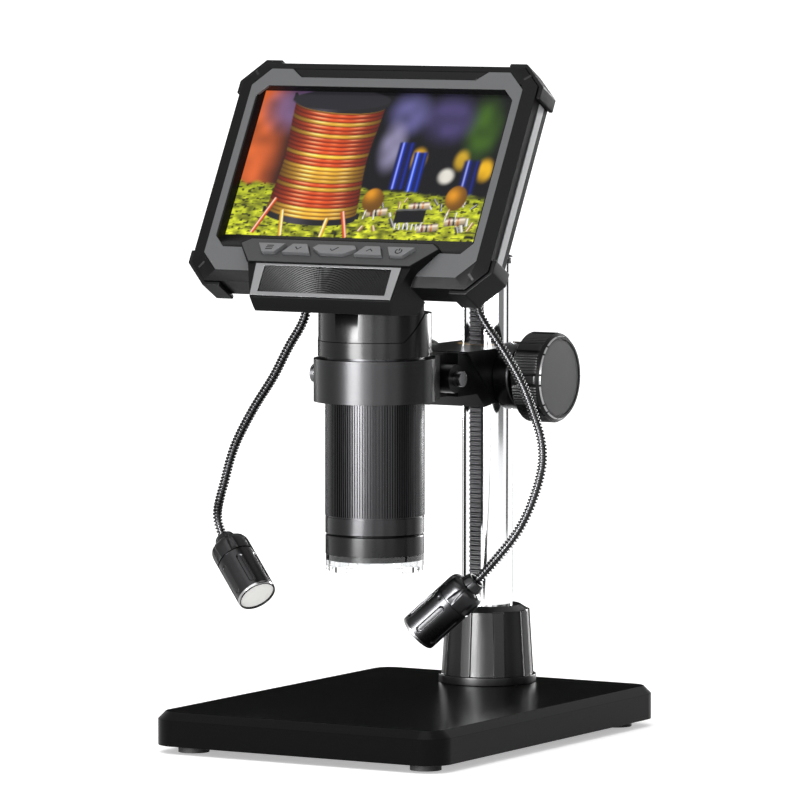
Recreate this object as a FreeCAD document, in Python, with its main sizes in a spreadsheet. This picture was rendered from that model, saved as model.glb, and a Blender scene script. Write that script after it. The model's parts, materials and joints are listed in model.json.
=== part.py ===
import FreeCAD, Part
import math
import os
import re
import Sketcher

# Driving sizes, in millimetres and degrees
SIZES = {
    # Base: a heavy plate on four feet
    "base_wide": 128,
    "base_long": 175,
    "base_thick": 13,
    "base_corner": 10,
    "base_chamfer": 3,
    "foot_high": 3,
    "foot_radius": 6,
    "foot_inset": 12.7,
    "foot_screw_radius": 1.5,
    "foot_screw_long": 8,
    "foot_head_radius": 2.8,
    "foot_head_high": 1.4,
    "foot_head_cover": 0.8,
    # Column, its socket, rack and cap
    "column_inset": 25.4,
    "column_radius": 10,
    "column_bore": 5.5,
    "column_long": 166,
    "column_solid": 24,
    "cap_high": 3,
    "cap_plug": 8,
    "flange_radius": 19.3,
    "flange_thick": 3.3,
    "socket_low_radius": 17.8,
    "socket_high_radius": 16.15,
    "socket_cone": 28.9,
    "socket_high": 31,
    "socket_lip": 12.9,
    "socket_rib_count": 8,
    "socket_rib_wide": 4.4,
    "socket_rib_proud": 0.6,
    "bolt_radius": 3,
    "bolt_head_radius": 5,
    "bolt_head_high": 5,
    "bolt_long": 23,
    "washer_radius": 6,
    "washer_thick": 1,
    "bolt_recess": 7,
    "rack_wide": 5,
    "rack_floor": 7.6,
    "rack_start": 34,
    "rack_long": 130,
    "rack_end": 3,
    "gear_module": 0.6,
    "pinion_teeth": 16,
    "rack_pitch_radius": 9.8,
    "backlash": 0.1,
    "rack_screw_radius": 0.8,
    "rack_screw_head": 1.2,
    "rack_screw_long": 3.2,
    "rack_head_high": 0.6,
    # Focusing block, guided on the column
    "carriage_high": 139,
    "block_wide": 35,
    "block_below": 10.5,
    "block_above": 11.2,
    "block_behind": 13.9,
    "block_round": 4,
    "bush_wall": 2,
    "bush_long": 4.5,
    "guide_clearance": 0.03,
    "rack_clearance": 0.3,
    "shaft_radius": 3,
    "shaft_clearance": 0.04,
    "pinion_wide": 4.6,
    "pinion_room": 0.5,
    "collar_radius": 13,
    "collar_long": 7.5,
    "knob_gap": 2.3,
    "knob_radius": 17.6,
    "knob_long": 13.7,
    "knob_face_radius": 15.9,
    "knob_cap_radius": 14.8,
    "knob_cap_thick": 1.2,
    "knob_hub_radius": 8,
    "knob_flutes": 8,
    "knob_flute_radius": 2.2,
    "knob_flute_deep": 0.9,
    # Arm and clamp ring that carry the scope
    "scope_reach": 87.6,
    "ring_radius": 23.5,
    "ring_below": 5.7,
    "ring_high": 16.5,
    "arm_front": 15.9,
    "parting_top": 51.3,
    "parting_low": 28.1,
    "arm_low_start": 39.1,
    "arm_low_end": 32.8,
    "joint_plate": 4.4,
    "joint_inset": 0.5,
    "arm_screw_radius": 2,
    "arm_screw_head": 3.5,
    "arm_screw_head_high": 4,
    "arm_screw_spread": 18,
    "arm_screw_up": 2.5,
    "arm_screw_seat": 22.5,
    "arm_screw_tip": 26.1,
    "recess_front": 19.5,
    "recess_long": 14,
    "recess_deep": 4.8,
    "boss_radius": 5.55,
    "boss_long": 7.3,
    "boss_up": 1.7,
    "boss_screw_radius": 1.5,
    "boss_head_radius": 3,
    "boss_head_long": 3.4,
    "thumb_radius": 1.5,
    "thumb_head_radius": 3.6,
    "thumb_head_long": 3.4,
    "thumb_up": 4,
    "thumb_gap": 0.3,
    # Scope barrel, from the ring down
    "tube_radius": 19,
    "tube_clearance": 0.05,
    "inner_tube_radius": 16.5,
    "inner_tube_bore": 14.5,
    "shoulder_gap": 0.2,
    "sleeve_radius": 19.2,
    "sleeve_long": 43.3,
    "sleeve_ribs": 116,
    "sleeve_rib_deep": 0.45,
    "sleeve_clearance": 0.05,
    "band_long": 7.1,
    "band_radius": 19.05,
    "nose_gap": 0.3,
    "nose_long": 7.6,
    "nose_bore": 17.4,
    "nose_deep": 4,
    "led_board_thick": 1.2,
    "led_board_hole": 9,
    "led_count": 8,
    "led_radius": 2.4,
    "led_high": 1.6,
    "led_circle": 13,
    "shroud_radius": 18.8,
    "shroud_wall": 1.6,
    "shroud_long": 6.4,
    "shroud_notches": 12,
    "shroud_notch_wide": 4,
    "shroud_notch_high": 2,
    "cell_long": 12,
    "cell_up": 10,
    "lens_radius": 6.5,
    "lens_thick": 4,
    # Head housing with the tilt hinge
    "head_radius": 21.9,
    "head_gap": 1,
    "head_rim": 5.9,
    "head_high": 16.5,
    "ramp_front": -10.5,
    "ramp_back": 0.9,
    "hinge_back": 4,
    "hinge_drop": 3.8,
    "knuckle_radius": 4,
    "knuckle_half": 9.8,
    "hinge_slot_half": 10,
    "hinge_slot_front": -5.5,
    "hinge_slot_back": 12.5,
    "hinge_slot_deep": 8.4,
    "pin_radius": 1.5,
    "pin_clearance": 0.04,
    "pin_start": 1.2,
    "pin_end": 16,
    "cavity_high": 3.4,
    "sensor_board_radius": 13.5,
    "sensor_board_thick": 1.2,
    "sensor_half": 3.5,
    "sensor_thick": 1.1,
    # Neck under the display
    "neck_radius": 21.7,
    "seat_gap": 0.2,
    "neck_back": 0.5,
    "neck_shoulder": 7,
    "neck_crest": -12.5,
    "neck_crest_up": 20,
    # Display, in its own leaning frame
    "display_forward": 7.3,
    "display_up": 58.3,
    "screen_tilt": 29.1,
    "screen_wide": 110.7,
    "screen_high": 62.3,
    "screen_deep": 3.5,
    "window_side": 1.65,
    "window_top": 0.55,
    "window_bottom": 6.75,
    "window_cut": 4.5,
    "bezel_side": 3.2,
    "bezel_top": 7.3,
    "bezel_bottom": 9.9,
    "bezel_cut": 7.2,
    "bezel_thick": 1.2,
    "border_side": 5.4,
    "border_top": 3,
    "border_bottom": 4.2,
    "border_deep": 1.3,
    "border_cut": 8,
    "case_deep": 10,
    "back_deep": 4.2,
    "back_slope": 1.5,
    "case_wall": 2.2,
    "front_wall": 1.6,
    "flange_side": 2.2,
    "glass_thick": 1,
    "panel_thick": 2.7,
    "board_thick": 1.2,
    "board_half": 50,
    "board_low": -30,
    "board_tall": 58,
    "battery_half": 25,
    "battery_low": -24,
    "battery_tall": 48,
    "battery_thick": 6,
    "hump_wall": 1.6,
    "hump_margin": 3,
    "insert_half": 38.8,
    "insert_slope": 4.8,
    "insert_high": 3.6,
    "insert_gap": 0.2,
    "bumper_proud": 1.8,
    "bumper_along": 15,
    "bumper_up": 13,
    "bumper_front": 0.6,
    "bumper_deep": 13.4,
    "strip_deep": 0.8,
    "strip_proud": 0.3,
    "strip_front": 5.6,
    "strip_wide": 4,
    "strip_margin": 0.4,
    "screw_post_radius": 3,
    "case_screw_radius": 1.2,
    "case_screw_head": 2.4,
    "case_screw_head_high": 1.2,
    "case_screw_long": 9,
    "case_screw_inset": 9.6,
    "case_screw_up": 4.5,
    "case_screw_low": 8,
    # Chin with the buttons and the grille
    "chin_top": 2.85,
    "chin_lift": 0.4,
    "chin_top_half": 40.6,
    "chin_shoulder": 3,
    "chin_shoulder_half": 44,
    "chin_waist_half": 36,
    "chin_low_half": 31.2,
    "chin_foot_half": 30,
    "chin_tall": 30.6,
    "chin_heel": 7.1,
    "keypad_tilt": 23.4,
    "keypad_long": 13.8,
    "keypad_margin": 0.5,
    "keypad_thick": 1,
    "button_top": 4.4,
    "button_tall": 5,
    "button_proud": 1.5,
    "button_sunk": 1.2,
    "button_gap": 0.15,
    "button_travel": 0.8,
    "button_spare": 0.15,
    "grille_half": 28,
    "grille_top": 13.8,
    "grille_tall": 11,
    "grille_thick": 1.2,
    "grille_back": 1.1,
    "frame_post": 3,
    "frame_top": 0.85,
    "frame_lip": 1.6,
    "frame_proud": 0.4,
    "speaker_half": 12,
    "speaker_tall": 9,
    "speaker_thick": 4,
    # Lamp arms and lamps
    "arm_root_side": 38,
    "arm_root_low": 17.5,
    "root_boss_radius": 5,
    "root_boss_tip": 3.6,
    "root_boss_long": 5.8,
    "ferrule_radius": 2.4,
    "ferrule_clearance": 0.05,
    "ferrule_long": 7,
    "neck_rib_radius": 1.9,
    "neck_root_radius": 1.5,
    "neck_bore_radius": 0.7,
    "neck_ribs": 92,
    "ball_radius": 2.5,
    "ball_clearance": 0.06,
    "lamp_radius": 7.8,
    "lamp_long": 27,
    "lamp_cap_long": 7.3,
    "lamp_collar_radius": 3.9,
    "lamp_collar_long": 4.6,
    "lamp_mouth_wide": 14,
    "lamp_mouth_gap": 0.3,
    "lamp_rim": 0.8,
    "lamp_slots": 6,
    "lamp_slot_deep": 0.5,
    "lamp_slot_wide": 1.2,
    "lamp_slot_in": 3,
    "lamp_face_deep": 0.8,
    "lamp_face_thick": 1.2,
    "left_heading": -24,
    "left_dip": 42.4,
    "right_heading": 194,
    "right_dip": 42.1,
}

doc = FreeCAD.newDocument("DigitalMicroscope")
sheet = doc.addObject("Spreadsheet::Sheet", "Sizes")
for row, (alias, value) in enumerate(SIZES.items(), 1):
    sheet.set(f"B{row}", str(value))
    sheet.setAlias(f"B{row}", alias)
doc.recompute()
places = doc.addObject("App::FeaturePython", "Places")
known = {}
nodes = {}

# Heights and places that follow from the sizes
BASE_TOP = "(foot_high + base_thick)"
COLUMN_Y = "(base_long / 2 - column_inset)"
COLUMN_TOP = f"({BASE_TOP} + column_long)"
PINION_Y = f"({COLUMN_Y} - rack_pitch_radius - gear_module * pinion_teeth / 2)"
BLOCK_LOW = "(carriage_high - block_below)"
BLOCK_TOP = "(carriage_high + block_above)"
BLOCK_HALF = "(block_wide / 2)"
SCOPE_Y = f"({COLUMN_Y} - scope_reach)"
PARTING_TOP = f"({COLUMN_Y} - parting_top)"
PARTING_LOW = f"({COLUMN_Y} - parting_low)"
SCREW_END = f"({COLUMN_Y} - arm_screw_tip)"
SCREW_SEAT = f"({SCOPE_Y} + arm_screw_seat)"
RECESS_FRONT = f"({SCOPE_Y} + recess_front)"
RING_LOW = "(carriage_high - ring_below)"
RING_TOP = f"({RING_LOW} + ring_high)"
TUBE_STEP = f"({RING_LOW} - shoulder_gap)"
SLEEVE_TOP = f"({TUBE_STEP} - shoulder_gap)"
BAND_TOP = f"({SLEEVE_TOP} - sleeve_long)"
NOSE_TOP = f"({BAND_TOP} - band_long - nose_gap)"
NOSE_LOW = f"({NOSE_TOP} - nose_long)"
TUBE_LOW = f"({NOSE_LOW} + nose_deep)"
HEAD_LOW = f"({RING_TOP} + head_gap)"
RAMP_LOW = f"({HEAD_LOW} + head_rim)"
HEAD_TOP = f"({HEAD_LOW} + head_high)"
HINGE_Y = f"({SCOPE_Y} + hinge_back)"
HINGE_Z = f"({HEAD_TOP} - hinge_drop)"
KNOB_START = f"({BLOCK_HALF} + collar_long + knob_gap)"
DISPLAY = (
    f"placement(vector(0; {SCOPE_Y} - display_forward; {HEAD_TOP} + display_up);"
    " rotation(vector(1; 0; 0); -screen_tilt))"
)
WINDOW_HALF = "(screen_wide / 2 + window_side)"
WINDOW_TOP = "(screen_high / 2 + window_top)"
WINDOW_LOW = "(-screen_high / 2 - window_bottom)"
BEZEL_HALF = f"({WINDOW_HALF} + bezel_side)"
BEZEL_TOP = f"({WINDOW_TOP} + bezel_top)"
BEZEL_LOW = f"({WINDOW_LOW} - bezel_bottom)"
CASE_HALF = f"({BEZEL_HALF} + border_side)"
CASE_TOP = f"({BEZEL_TOP} + border_top)"
CASE_LOW = f"({BEZEL_LOW} - border_bottom)"
CASE_BACK = "(case_deep + back_deep)"
CHIN_TOP = "(-screen_high / 2 - chin_top)"
KEYPAD = (
    f"{DISPLAY} * placement(vector(0; -chin_lift; {CHIN_TOP});"
    " rotation(vector(1; 0; 0); -keypad_tilt))"
)
KEYPAD_FRONT = "(-chin_lift - keypad_long * sin(keypad_tilt))"
KEYPAD_FOOT = f"({CHIN_TOP} - keypad_long * cos(keypad_tilt))"
GRILLE_FRONT = f"({KEYPAD_FRONT} + grille_back)"
GRILLE_TOP = f"({CHIN_TOP} - grille_top)"
PANEL_BACK = "(screen_deep + glass_thick + panel_thick)"
BOARD_BACK = f"({PANEL_BACK} + board_thick)"
HUMP_BACK = f"({BOARD_BACK} + battery_thick + hump_wall)"
ROOT_V = "(-arm_root_low)"


def bound(text):
    """An expression with the names of the sheet's cells in full."""
    return re.sub(r"[a-z_]+", lambda word: f"Sizes.{word[0]}" if word[0] in SIZES else word[0], text)


def number(text):
    """The value of an expression now."""
    if text not in known:
        name = f"place{len(known)}"
        places.addProperty("App::PropertyFloat", name)
        places.setExpression(name, bound(text))
        places.recompute()
        known[text] = getattr(places, name)
    return known[text]


def vector(x, y, z):
    """The point that three expressions give."""
    return FreeCAD.Vector(number(x), number(y), number(z))


def bind(thing, **expressions):
    """Bind properties of an object to expressions."""
    for name, text in expressions.items():
        thing.setExpression(name, bound(text))
    return thing


def spot(x="0", y="0", z="0", turn="rotation(vector(0; 0; 1); 0)"):
    """A placement expression from a point and a turn."""
    return f"placement(vector({x}; {y}; {z}); {turn})"


ALONG_X = "rotation(vector(0; 1; 0); 90)"
ALONG_LEFT = "rotation(vector(0; 1; 0); -90)"
ALONG_Y = "rotation(vector(1; 0; 0); -90)"
ALONG_FRONT = "rotation(vector(1; 0; 0); 90)"
UPSIDE_DOWN = "rotation(vector(1; 0; 0); 180)"


def new_body(name, where=None):
    body = doc.addObject("PartDesign::Body", name)
    if where:
        bind(body, Placement=where)
    return body


def sketch_on(body, plane, level):
    """A sketch on an origin plane, moved along that plane's axis."""
    sketch = body.newObject("Sketcher::SketchObject", f"{body.Name}_sketch")
    face = next(f for f in body.Origin.OriginFeatures if f.Role == f"{plane}_Plane")
    sketch.AttachmentSupport = (face, [""])
    sketch.MapMode = "FlatFace"
    sign = "-" if plane == "XZ" else ""
    sketch.setExpression("AttachmentOffset.Base.z", bound(f"{sign}({level})"))
    return sketch


def draw(sketch, outline):
    """Draw a closed outline: a circle (x, y, radius) or a list of corners."""
    first = sketch.GeometryCount
    rules, texts = [], []

    def rule(text, *terms):
        rules.append(Sketcher.Constraint(*terms))
        texts.append(text)

    if isinstance(outline, tuple):
        x, y, radius = outline
        centre = vector(x, y, "0")
        sketch.addGeometry(Part.Circle(centre, FreeCAD.Vector(0, 0, 1), number(radius)))
        rule(x, "DistanceX", first, 3, centre.x)
        rule(y, "DistanceY", first, 3, centre.y)
        rule(radius, "Radius", first, number(radius))
    else:
        corners = [vector(x, y, "0") for x, y in outline]
        count = len(corners)
        for i in range(count):
            sketch.addGeometry(Part.LineSegment(corners[i], corners[(i + 1) % count]))
        for i, (x, y) in enumerate(outline):
            rule(None, "Coincident", first + i, 2, first + (i + 1) % count, 1)
            rule(x, "DistanceX", first + i, 1, corners[i].x)
            rule(y, "DistanceY", first + i, 1, corners[i].y)
    start = sketch.ConstraintCount
    sketch.addConstraint(rules)
    for i, text in enumerate(texts):
        if text:
            sketch.setExpression(f"Constraints[{start + i}]", bound(text))


def pad(body, plane, level, length, *outlines):
    """Add the prism from level, length long, along the plane's axis."""
    sketch = sketch_on(body, plane, level)
    for outline in outlines:
        draw(sketch, outline)
    feature = body.newObject("PartDesign::Pad", f"{body.Name}_pad")
    feature.Profile = sketch
    feature.Reversed = plane == "XZ"
    bind(feature, Length=length)
    return body


def pocket(body, plane, level, length, *outlines):
    """Cut the prism from level, length long, along the plane's axis."""
    sketch = sketch_on(body, plane, level)
    for outline in outlines:
        draw(sketch, outline)
    feature = body.newObject("PartDesign::Pocket", f"{body.Name}_pocket")
    feature.Profile = sketch
    feature.Reversed = plane != "XZ"
    bind(feature, Length=length)
    return feature


def loft(body, plane, *levels):
    """Add the loft between outlines, given with their levels."""
    sketches = []
    for level, outline in levels:
        sketches.append(sketch_on(body, plane, level))
        draw(sketches[-1], outline)
    feature = body.newObject("PartDesign::AdditiveLoft", f"{body.Name}_loft")
    feature.Profile = sketches[0]
    feature.Sections = sketches[1:]
    feature.Ruled = True
    return body


def turned(name, where, profile):
    """A body turned about its own Z axis from (radius, height) corners."""
    body = new_body(name, where)
    sketch = sketch_on(body, "XZ", "0")
    draw(sketch, profile)
    feature = body.newObject("PartDesign::Revolution", f"{name}_turn")
    feature.Profile = sketch
    feature.ReferenceAxis = (sketch, ["V_Axis"])
    return body


def rectangle(left, low, wide, tall):
    right, top = f"{left} + {wide}", f"{low} + {tall}"
    return [(left, low), (right, low), (right, top), (left, top)]


def wide_box(half, low, top):
    return [(f"-{half}", low), (half, low), (half, top), (f"-{half}", top)]


def cut_box(half, low, top, cut):
    """A rectangle with its four corners cut off."""
    return [
        (f"-{half} + {cut}", low),
        (f"{half} - {cut}", low),
        (half, f"{low} + {cut}"),
        (half, f"{top} - {cut}"),
        (f"{half} - {cut}", top),
        (f"-{half} + {cut}", top),
        (f"-{half}", f"{top} - {cut}"),
        (f"-{half}", f"{low} + {cut}"),
    ]


def around(body, feature, count):
    """Repeat a feature about the body's own Z axis."""
    pattern = body.newObject("PartDesign::PolarPattern", f"{body.Name}_round")
    pattern.Originals = [feature]
    axis = next(f for f in body.Origin.OriginFeatures if f.Role == "Z_Axis")
    pattern.Axis = (axis, [""])
    pattern.Angle = 360
    bind(pattern, Occurrences=count)
    body.Tip = pattern


def joined(name, *parts):
    fuse = doc.addObject("Part::MultiFuse", name)
    fuse.Shapes = list(parts)
    return fuse


def less(name, solid, *tools):
    """A solid less its tools."""
    for i, tool in enumerate(tools):
        last = i == len(tools) - 1
        cut = doc.addObject("Part::Cut", name if last else f"{name}_cut{i}")
        cut.Base = solid
        cut.Tool = tool
        solid = cut
    return solid


def shared(name, first, second):
    """What two solids have in common."""
    common = doc.addObject("Part::Common", name)
    common.Base = first
    common.Tool = second
    return common


def group(name, members):
    """Separate solids kept under one name."""
    compound = doc.addObject("Part::Compound", name)
    compound.Links = members
    return compound


def cylinder(name, where, radius, height):
    return bind(doc.addObject("Part::Cylinder", name), Radius=radius, Height=height, Placement=where)


def keep(name, thing):
    """Give a finished sub-part its name."""
    thing.Label = name
    nodes[name] = thing


def edges_where(shape, test):
    return [f"Edge{i}" for i, edge in enumerate(shape.Edges, 1) if test(edge)]


def dress(body, kind, edges, **expressions):
    """Round or bevel edges of the body as it stands."""
    base = body.Tip
    finish = body.newObject(f"PartDesign::{kind}", f"{body.Name}_{kind.lower()}")
    finish.Base = (base, edges)
    bind(finish, **expressions)
    doc.recompute()
    return finish


def screw(name, where, radius, length, head_radius, head_high):
    """A screw: its head from 0 up along Z, its shank down from 0."""
    profile = [
        ("0", f"-{length}"),
        (radius, f"-{length}"),
        (radius, "0"),
        (head_radius, "0"),
        (head_radius, head_high),
        ("0", head_high),
    ]
    return turned(name, where, profile)


# Base plate: rounded upright corners and a broad top chamfer
plate = new_body("base_plate")
pad(plate, "XY", "foot_high", "base_thick", wide_box("base_wide / 2", "-base_long / 2", "base_long / 2"))
doc.recompute()
upright = edges_where(
    plate.Shape,
    lambda e: abs(e.Vertexes[0].Point.z - e.Vertexes[-1].Point.z) > number("base_thick") / 2,
)
dress(plate, "Fillet", upright, Radius="base_corner")
top = number(BASE_TOP)
rim = edges_where(plate.Shape, lambda e: min(v.Point.z for v in e.Vertexes) > top - 0.01)
dress(plate, "Chamfer", rim, Size="base_chamfer")
foot_spots = [
    (f"{x} * (base_wide / 2 - foot_inset)", f"{y} * (base_long / 2 - foot_inset)")
    for x in (-1, 1)
    for y in (-1, 1)
]
FOOT_SCREW_SHANK = "(foot_screw_long - foot_head_high)"
pocket(plate, "XY", "foot_high", FOOT_SCREW_SHANK, *[(x, y, "foot_screw_radius") for x, y in foot_spots])
pocket(plate, "XY", "foot_high", "bolt_recess", ("0", COLUMN_Y, "washer_radius + 0.2"))
pocket(plate, "XY", "foot_high", "base_thick", ("0", COLUMN_Y, "bolt_radius"))
keep("base_plate", plate)

# Feet and their screws, one in each corner
feet, foot_screws = [], []
for i, (x, y) in enumerate(foot_spots):
    where = spot(x, y)
    profile = [
        ("foot_head_radius", "0"),
        ("foot_radius", "0"),
        ("foot_radius", "foot_high"),
        ("foot_screw_radius", "foot_high"),
        ("foot_screw_radius", "foot_high - foot_head_cover"),
        ("foot_head_radius", "foot_high - foot_head_cover"),
    ]
    feet.append(turned(f"foot{i}", where, profile))
    head = spot(x, y, "foot_high - foot_head_cover", UPSIDE_DOWN)
    sizes = ("foot_screw_radius", FOOT_SCREW_SHANK, "foot_head_radius", "foot_head_high")
    foot_screws.append(screw(f"foot_screw{i}", head, *sizes))
keep("base_feet", group("base_feet", feet))
keep("base_foot_screws", group("base_foot_screws", foot_screws))

# Column socket: a flange, a cone with raised ribs and a lip
column_foot = spot("0", COLUMN_Y, BASE_TOP)
socket = turned(
    "column_socket",
    column_foot,
    [
        ("column_radius", "0"),
        ("flange_radius", "0"),
        ("flange_radius", "flange_thick"),
        ("socket_low_radius", "flange_thick"),
        ("socket_high_radius", "socket_cone"),
        ("socket_lip", "socket_high"),
        ("column_radius", "socket_high"),
    ],
)
RIB_HALF = "(socket_rib_wide / 2)"
sketch = sketch_on(socket, "YZ", f"-{RIB_HALF}")
draw(
    sketch,
    [
        ("column_radius + 1", "flange_thick"),
        ("socket_low_radius + socket_rib_proud", "flange_thick"),
        ("socket_high_radius + socket_rib_proud", "socket_cone"),
        ("column_radius + 1", "socket_cone"),
    ],
)
rib = socket.newObject("PartDesign::Pad", "socket_rib")
rib.Profile = sketch
bind(rib, Length="socket_rib_wide")
around(socket, rib, "socket_rib_count")
keep("column_socket", socket)

# Column: a tube with a closed foot and a slot for the rack
RACK_LOW = f"({BASE_TOP} + rack_start)"
column = turned(
    "column_tube",
    column_foot,
    [
        ("bolt_radius", "0"),
        ("column_radius", "0"),
        ("column_radius", "column_long"),
        ("column_bore", "column_long"),
        ("column_bore", "column_solid"),
        ("bolt_radius", "column_solid"),
    ],
)
pocket(
    column,
    "XZ",
    "-column_radius - 1",
    "column_radius + 1 - rack_floor",
    rectangle("-rack_wide / 2", "rack_start", "rack_wide", "rack_long"),
)
rack_screw_heights = ["(rack_start + rack_end / 2)", "(rack_start + rack_long - rack_end / 2)"]
RACK_FACE = "(rack_pitch_radius - 1.25 * gear_module)"
pocket(
    column,
    "XZ",
    "-rack_floor",
    f"rack_screw_long - ({RACK_FACE} - rack_floor)",
    *[("0", z, "rack_screw_radius") for z in rack_screw_heights],
)
keep("column_tube", column)

# Bolt and washer that draw the column down on the base
WASHER_LOW = "(foot_high + bolt_recess - washer_thick)"
bolt_head = spot("0", COLUMN_Y, WASHER_LOW, UPSIDE_DOWN)
bolt = screw("bolt", bolt_head, "bolt_radius", "bolt_long", "bolt_head_radius", "bolt_head_high")
washer = turned(
    "washer",
    spot("0", COLUMN_Y, WASHER_LOW),
    [
        ("bolt_radius", "0"),
        ("washer_radius", "0"),
        ("washer_radius", "washer_thick"),
        ("bolt_radius", "washer_thick"),
    ],
)
keep("column_bolt", group("column_bolt", [bolt, washer]))

# Cap on the column
cap = turned(
    "column_cap",
    spot("0", COLUMN_Y, COLUMN_TOP),
    [
        ("0", "-cap_plug"),
        ("column_bore", "-cap_plug"),
        ("column_bore", "0"),
        ("column_radius", "0"),
        ("column_radius", "cap_high - 0.8"),
        ("column_radius - 0.8", "cap_high"),
        ("0", "cap_high"),
    ],
)
keep("column_cap", cap)


def rack_shape():
    """A bar with plain ends and straight-sided teeth on its front."""
    module = number("gear_module")
    pitch = math.pi * module
    face = number("rack_pitch_radius") - 1.25 * module
    tip = number("rack_pitch_radius") + module
    slope = math.tan(math.radians(20))
    half = pitch / 4 - number("backlash") / 2
    low = number(RACK_LOW)
    long = number("rack_long")
    end = number("rack_end")
    middle = number("carriage_high")
    start = math.ceil((low + end - middle) / pitch)
    stop = math.floor((low + long - end - middle) / pitch)
    points = [(number("rack_floor"), low), (face, low)]
    for step in range(start, stop):
        z = middle + (step + 0.5) * pitch
        root = half + 1.25 * module * slope
        crest = half - module * slope
        points += [(face, z - root), (tip, z - crest), (tip, z + crest), (face, z + root)]
    points += [(face, low + long), (number("rack_floor"), low + long)]
    wide = number("rack_wide")
    corners = [FreeCAD.Vector(-wide / 2, number(COLUMN_Y) - r, z) for r, z in points]
    return Part.Face(Part.makePolygon(corners + corners[:1])).extrude(FreeCAD.Vector(wide, 0, 0))


def pinion_shape():
    """A spur gear on a shaft along X, with a tooth towards the rack."""
    module = number("gear_module")
    teeth = round(number("pinion_teeth"))
    pitch_radius = module * teeth / 2
    points = []
    for tooth in range(teeth):
        middle = 2 * math.pi * tooth / teeth
        lost = number("backlash") / 2
        for radius, half in (
            (pitch_radius - 1.2 * module, math.pi * module / 4 + 0.34 * module - lost),
            (pitch_radius, math.pi * module / 4 - lost),
            (pitch_radius + 0.95 * module, math.pi * module / 4 - 0.42 * module - lost),
        ):
            points.append((radius, middle - half / radius))
        points += [(r, 2 * middle - a) for r, a in reversed(points[-3:])]
    corners = [FreeCAD.Vector(0, r * math.cos(a), r * math.sin(a)) for r, a in points]
    wide = number("pinion_wide")
    gear = Part.Face(Part.makePolygon(corners + corners[:1])).extrude(FreeCAD.Vector(wide, 0, 0))
    gear.translate(FreeCAD.Vector(-wide / 2, 0, 0))
    half = number(f"{KNOB_START} + knob_long - 2 * knob_cap_thick")
    along = FreeCAD.Vector(1, 0, 0)
    return gear.fuse(Part.makeCylinder(number("shaft_radius"), 2 * half, -half * along, along))


def feature(name, shape, where=None):
    thing = doc.addObject("Part::Feature", name)
    thing.Shape = shape
    if where:
        bind(thing, Placement=where)
    return thing


# Rack and its two screws
rack = feature("rack_bar", rack_shape())
rack_holes, rack_screws = [], []
for i, z in enumerate(rack_screw_heights):
    face = spot("0", f"{COLUMN_Y} - {RACK_FACE}", f"{BASE_TOP} + {z}", ALONG_Y)
    rack_holes.append(cylinder(f"rack_hole{i}", face, "rack_screw_radius", "rack_screw_long"))
    sunk = spot("0", f"{COLUMN_Y} - {RACK_FACE} + rack_head_high", f"{BASE_TOP} + {z}", ALONG_FRONT)
    rack_holes.append(cylinder(f"rack_sink{i}", sunk, "rack_screw_head", "2 * rack_head_high"))
    shank = "(rack_screw_long - rack_head_high)"
    rack_screws.append(
        screw(f"rack_screw{i}", sunk, "rack_screw_radius", shank, "rack_screw_head", "rack_head_high")
    )
keep("rack", less("rack", rack, *rack_holes))
keep("rack_screws", group("rack_screws", rack_screws))

# Focusing block: bored for the column, the bushes and the shaft
SHAFT_HOLE = "(gear_module * (pinion_teeth / 2 + 1) + pinion_room)"
BUSH_OUTER = "(column_radius + guide_clearance + bush_wall)"
block = new_body("focus_block")
pad(
    block,
    "YZ",
    f"-{BLOCK_HALF}",
    "block_wide",
    [
        (f"{PARTING_LOW} + joint_plate", BLOCK_LOW),
        (f"{COLUMN_Y} + block_behind", BLOCK_LOW),
        (f"{COLUMN_Y} + block_behind", BLOCK_TOP),
        (f"{PARTING_TOP} + joint_plate", BLOCK_TOP),
    ],
)
doc.recompute()
back = number(f"{COLUMN_Y} + block_behind")
corners = edges_where(
    block.Shape,
    lambda e: min(v.Point.y for v in e.Vertexes) > back - 0.01
    and abs(e.Vertexes[0].Point.z - e.Vertexes[-1].Point.z) > 1,
)
dress(block, "Fillet", corners, Radius="block_round")
pocket(block, "XY", BLOCK_LOW, "block_below + block_above", ("0", COLUMN_Y, BUSH_OUTER))
pocket(block, "YZ", f"-{BLOCK_HALF}", "block_wide", (PINION_Y, "carriage_high", SHAFT_HOLE))
arm_screw_x = ["(-arm_screw_spread / 2)", "(arm_screw_spread / 2)"]
ARM_SCREW_Z = "(carriage_high + arm_screw_up)"
screw_bores = [(x, ARM_SCREW_Z, "arm_screw_radius") for x in arm_screw_x]
pocket(block, "XZ", PARTING_TOP, f"{SCREW_END} - {PARTING_TOP}", *screw_bores)
keep("focus_block", block)

# Guide bushes: two slotted rings that slide on the column
bushes = []
for i, low in enumerate((BLOCK_LOW, f"({BLOCK_TOP} - bush_long)")):
    bush = turned(
        f"bush{i}",
        spot("0", COLUMN_Y, low),
        [
            ("column_radius + guide_clearance", "0"),
            (BUSH_OUTER, "0"),
            (BUSH_OUTER, "bush_long"),
            ("column_radius + guide_clearance", "bush_long"),
        ],
    )
    slot_half = "(rack_wide / 2 + rack_clearance)"
    tip = "(rack_pitch_radius + gear_module + rack_clearance)"
    pocket(bush, "XY", "0", "bush_long", rectangle(f"-{slot_half}", f"-{tip}", f"2 * {slot_half}", tip))
    bushes.append(bush)
keep("guide_bushes", group("guide_bushes", bushes))

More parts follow.
